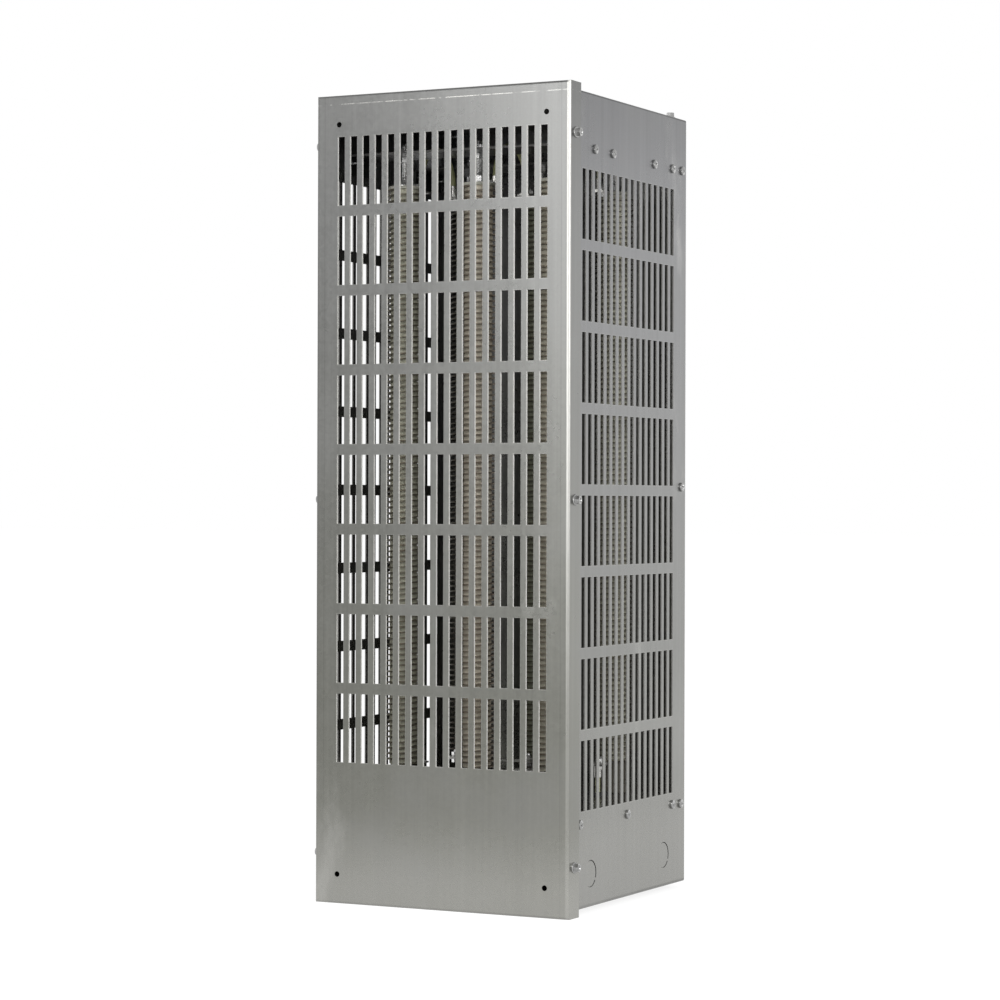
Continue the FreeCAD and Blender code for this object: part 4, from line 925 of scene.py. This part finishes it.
class RESISTOR_OT_ceramics(bpy.types.Operator):
    """Build the ceramic spools inside the coils, their feet and their top discs"""
    bl_idname = "resistor.ceramics"
    bl_label = "Ceramics"

    def execute(self, context):
        settings = context.scene.resistor_ceramics
        for element, tint in ELEMENT_TINTS_AND_SHADE.items():
            node = f"core_{element}"
            # Each element's tint paints light on the front middle spools and shade on the rear spools.
            colour = tinted(settings.colour, tint)
            material = ceramic(f"unglazed_spools_{element}", colour)
            groups = [(spool_stack_rings(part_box(node), settings), False)]
            add_piece(f"spools_{element}", groups, material, node)
        material = ceramic("unglazed_ceramic", settings.colour)
        groups = [rounded_ring(box, corner=0.7 * MM, steps=48) for box in solids_of("top_insulators")]
        add_piece("ceramic_discs", groups, material, "top_insulators")
        # Painted shade on the ceramic feet under the coils.
        material = ceramic("dusty_ceramic_feet", tinted(settings.colour, FEET_SHADE_TINT))
        groups = [(foot_rings(box), False) for box in solids_of("lower_insulators")]
        add_piece("ceramic_feet", groups, material, "lower_insulators")
        return {"FINISHED"}


class RESISTOR_OT_rods_and_nuts(bpy.types.Operator):
    """Build the threaded tie rods, their chamfered nuts and their washers"""
    bl_idname = "resistor.rods_and_nuts"
    bl_label = "Tie rods and nuts"

    def execute(self, context):
        sizes = context.scene.resistor_hardware
        # Painted light: the rods, nuts and washers inside the case take the full plating colour, much
        # lighter than the case screws' copy of it.
        material = plated("zinc_plating", sizes.zinc_colour, roughness=0.24, metallic=0.85)
        for element in ELEMENT_TINTS_AND_SHADE:
            node = f"tie_rod_{element}"
            groups = [(rod_rings(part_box(node), sizes), True)]
            add_piece(f"threaded_rod_{element}", groups, material, node, sharp_angle=60)
        chance = random.Random(7)
        for node in ("outer_nuts", "inner_nuts", "element_nuts", "shelf_nuts"):
            groups = nut_groups(node, NUT_FLATS, NUT_BORE, chance)
            add_piece(f"chamfered_{node}", groups, material, node, sharp_angle=25)
        groups = [rounded_ring(box, corner=0.25 * MM, steps=40) for box in solids_of("element_washers")]
        add_piece("pressed_washers", groups, material, "element_washers")
        return {"FINISHED"}


class RESISTOR_OT_case_screws(bpy.types.Operator):
    """Build the screws of the case: hexagon heads for the cover and the top, pan heads elsewhere"""
    bl_idname = "resistor.case_screws"
    bl_label = "Case screws"

    def execute(self, context):
        sizes = context.scene.resistor_hardware
        material = plated("screw_plating", scaled(sizes.zinc_colour, 0.42), roughness=0.20)
        for seed, (node, outward, hexagonal) in enumerate(CASE_SCREWS, 3):
            groups = screw_groups(node, outward, hexagonal, sizes.recess_depth, seed)
            style = "hexagon_head" if hexagonal else "pan_head"
            add_piece(f"{style}_{node}", groups, material, node, sharp_angle=40)
        return {"FINISHED"}


class RESISTOR_OT_terminals(bpy.types.Operator):
    """Finish the lugs, bars and terminals, and build their bolts and nuts"""
    bl_idname = "resistor.terminals"
    bl_label = "Terminals"

    def execute(self, context):
        wiring = context.scene.resistor_wiring
        zinc_colour = context.scene.resistor_hardware.zinc_colour
        strip = plated("bare_strip", scaled(wiring.tin_colour, 0.8), roughness=0.36)
        tinned = plated("tinned_brass", wiring.tin_colour, roughness=0.26)
        bright = plated("bolt_plating", zinc_colour, roughness=0.22)
        carry_finish(["upper_lugs", "lower_lugs", "link_bars"], strip)
        carry_finish(["jumper_terminals", "lead_terminals", "clamp_plates"], tinned)
        for node in ("upper_bolts", "lower_bolts"):
            groups = bolt_groups(node)
            add_piece(f"threaded_{node}", groups, bright, node, sharp_angle=40)
        for node in ("upper_nuts", "lower_nuts"):
            groups = nut_groups(node, BOLT_FLATS, BOLT_NUT_BORE)
            add_piece(f"chamfered_{node}", groups, bright, node, sharp_angle=25)
        return {"FINISHED"}


class RESISTOR_OT_wiring(bpy.types.Operator):
    """Finish the wires, their grommets, the terminal block and the ground stud"""
    bl_idname = "resistor.wiring"
    bl_label = "Wiring"

    def execute(self, context):
        wiring = context.scene.resistor_wiring
        zinc_colour = context.scene.resistor_hardware.zinc_colour
        carry_finish(["jumper_wires", "left_lead_wire", "right_lead_wire"],
                     moulded("wire_sleeve", wiring.insulation, roughness=0.48))
        carry_finish(["shelf_grommets"], moulded("grommet_rubber", GROMMET_BLACK, roughness=0.62))
        carry_finish(["terminal_block"],
                     moulded("phenolic_block", wiring.block_colour, roughness=0.42))
        carry_finish(["clamp_screws", "ground_stud", "ground_nut"],
                     plated("block_plating", zinc_colour, roughness=0.26))
        return {"FINISHED"}


# Studio

WHITE = (1.0, 1.0, 1.0)
FLOOR_GREY = (0.30, 0.30, 0.30)
FLOOR_GLOW = 0.84
FLOOR_REACH = 30.0

# Each lamp's place, the point that it is aimed at, its width and height, and its lean in degrees
LAMPS = {
    "key": ((2.4, -1.25, 1.3), (0, 0, 0.4), (1.4, 1.4), 0),
    "front": ((-0.13, -1.13, 0.76), (-0.13, 0, 0.76), (0.56, 1.1), 22),
    "back": ((0.95, 1.60, 0.45), (0.13, 0, 0.40), (1.4, 0.9), 0),
}

# The camera that the slots' edges were fitted to: yaw, pitch and roll are in degrees
CAMERA_PLACE = (1.2398, -2.4414, 0.3604)
CAMERA_TURN = (27.0232, 0.0689, 0.1662)
CAMERA_LENS = 106.82
SENSOR_WIDTH = 36.0


class RESISTOR_OT_studio(bpy.types.Operator):
    """Set the floor, the white surroundings, the lamps and the camera"""
    bl_idname = "resistor.studio"
    bl_label = "Studio"

    def execute(self, context):
        settings = context.scene.resistor_studio
        scene = context.scene
        scene.view_settings.view_transform = "Standard"
        light_room(scene, settings.room_light)
        lay_floor(scene)
        for name, (place, target, size, lean) in LAMPS.items():
            power = getattr(settings, f"{name}_power")
            add_lamp(scene, f"{name}_lamp", place, target, size, power, lean)
        set_camera(scene)
        return {"FINISHED"}


def is_ray(nodes, *kinds):
    """1 for rays of these kinds, such as what the camera sees, and 0 for all others."""
    first, *others = [nodes.add("ShaderNodeLightPath", output=f"Is_{kind}_Ray") for kind in kinds]
    for other in others:
        first = first.at_least(other)
    return first


def light_room(scene, level):
    """White for what the camera and reflections see, and an even plain light for the rest."""
    scene.world = bpy.data.worlds.new("studio_world")
    nodes = Nodes(scene.world)
    nodes.tree.nodes.clear()
    room = nodes.add("ShaderNodeBackground", Color=WHITE, Strength=level)
    seen = nodes.add("ShaderNodeBackground", Color=WHITE, Strength=1.0)
    direct = is_ray(nodes, "Camera", "Glossy", "Transmission")
    mixed = nodes.add("ShaderNodeMixShader", None, direct, room, seen)
    nodes.add("ShaderNodeOutputWorld", Surface=mixed)


def lay_floor(scene):
    """A pale floor that shows almost white and keeps a soft shadow."""
    mesh = bpy.data.meshes.new("studio_floor")
    corners = [(FLOOR_REACH * x, FLOOR_REACH * y, 0) for x, y in ((-1, -1), (1, -1), (1, 1), (-1, 1))]
    mesh.from_pydata(corners, [], [(0, 1, 2, 3)])
    floor = bpy.data.objects.new("studio_floor", mesh)
    scene.collection.objects.link(floor)
    material = bpy.data.materials.new("floor_white")
    nodes = Nodes(material)
    nodes.tree.nodes.clear()
    matt = nodes.add("ShaderNodeBsdfDiffuse", Color=FLOOR_GREY)
    direct = is_ray(nodes, "Camera", "Glossy")
    glow = nodes.add("ShaderNodeEmission", Color=WHITE, Strength=direct * FLOOR_GLOW)
    both = nodes.add("ShaderNodeAddShader", None, matt, glow)
    nodes.add("ShaderNodeOutputMaterial", Surface=both)
    mesh.materials.append(material)


def add_lamp(scene, name, place, target, size, power, lean):
    """A soft rectangular lamp aimed at target; lean turns it about its own axis, in degrees."""
    data = bpy.data.lights.new(name, "AREA")
    data.shape = "RECTANGLE"
    data.size, data.size_y = size
    data.energy = power
    lamp = bpy.data.objects.new(name, data)
    scene.collection.objects.link(lamp)
    lamp.location = place
    aim = Vector(target) - Vector(place)
    lamp.rotation_mode = "QUATERNION"
    turn = Quaternion((0, 0, 1), math.radians(lean))
    lamp.rotation_quaternion = aim.to_track_quat("-Z", "Y") @ turn


def set_camera(scene):
    data = bpy.data.cameras.new("photo_camera")
    data.lens = CAMERA_LENS
    data.sensor_width = SENSOR_WIDTH
    data.clip_start = 0.05
    data.clip_end = 100.0
    camera = bpy.data.objects.new("photo_camera", data)
    scene.collection.objects.link(camera)
    yaw, pitch, roll = (math.radians(angle) for angle in CAMERA_TURN)
    ahead = Vector((-math.sin(yaw), math.cos(yaw), 0))
    right = Vector((math.cos(yaw), math.sin(yaw), 0))
    up = Vector((0, 0, 1))
    tilted = ahead * math.cos(pitch) + up * math.sin(pitch)
    upright = up * math.cos(pitch) - ahead * math.sin(pitch)
    side = right * math.cos(roll) + upright * math.sin(roll)
    top = upright * math.cos(roll) - right * math.sin(roll)
    place = Matrix((side, top, -tilted)).transposed().to_4x4()
    place.translation = Vector(CAMERA_PLACE)
    camera.matrix_world = place
    scene.camera = camera


# The add-on

class RESISTOR_PT_sidebar(bpy.types.Panel):
    """The steps that build the resistor, and their settings"""
    bl_idname = "RESISTOR_PT_sidebar"
    bl_label = "Braking resistor"
    bl_space_type = "VIEW_3D"
    bl_region_type = "UI"
    bl_category = "Resistor"

    def draw(self, context):
        for step in STEPS:
            self.layout.operator(step.bl_idname)
        for name, group in GROUPS:
            box = self.layout.box()
            settings = getattr(context.scene, name)
            for key in group.__annotations__:
                box.prop(settings, key)


STEPS = (RESISTOR_OT_sheet_metal, RESISTOR_OT_coils, RESISTOR_OT_ceramics, RESISTOR_OT_rods_and_nuts,
         RESISTOR_OT_case_screws, RESISTOR_OT_terminals, RESISTOR_OT_wiring, RESISTOR_OT_studio)
GROUPS = (("resistor_sheet", SheetFinish), ("resistor_coils", CoilSizes),
          ("resistor_ceramics", CeramicFinish), ("resistor_hardware", HardwareSizes),
          ("resistor_wiring", WiringFinish), ("resistor_studio", StudioSettings))


def register():
    for name, group in GROUPS:
        bpy.utils.register_class(group)
        setattr(bpy.types.Scene, name, bpy.props.PointerProperty(type=group))
    for step in STEPS:
        bpy.utils.register_class(step)
    bpy.utils.register_class(RESISTOR_PT_sidebar)


def unregister():
    bpy.utils.unregister_class(RESISTOR_PT_sidebar)
    for step in reversed(STEPS):
        bpy.utils.unregister_class(step)
    for name, group in reversed(GROUPS):
        delattr(bpy.types.Scene, name)
        bpy.utils.unregister_class(group)


def main():
    register()
    bpy.ops.resistor.sheet_metal()
    bpy.ops.resistor.coils()
    bpy.ops.resistor.ceramics()
    bpy.ops.resistor.rods_and_nuts()
    bpy.ops.resistor.case_screws()
    bpy.ops.resistor.terminals()
    bpy.ops.resistor.wiring()
    bpy.ops.resistor.studio()


if __name__ == "__main__":
    main()
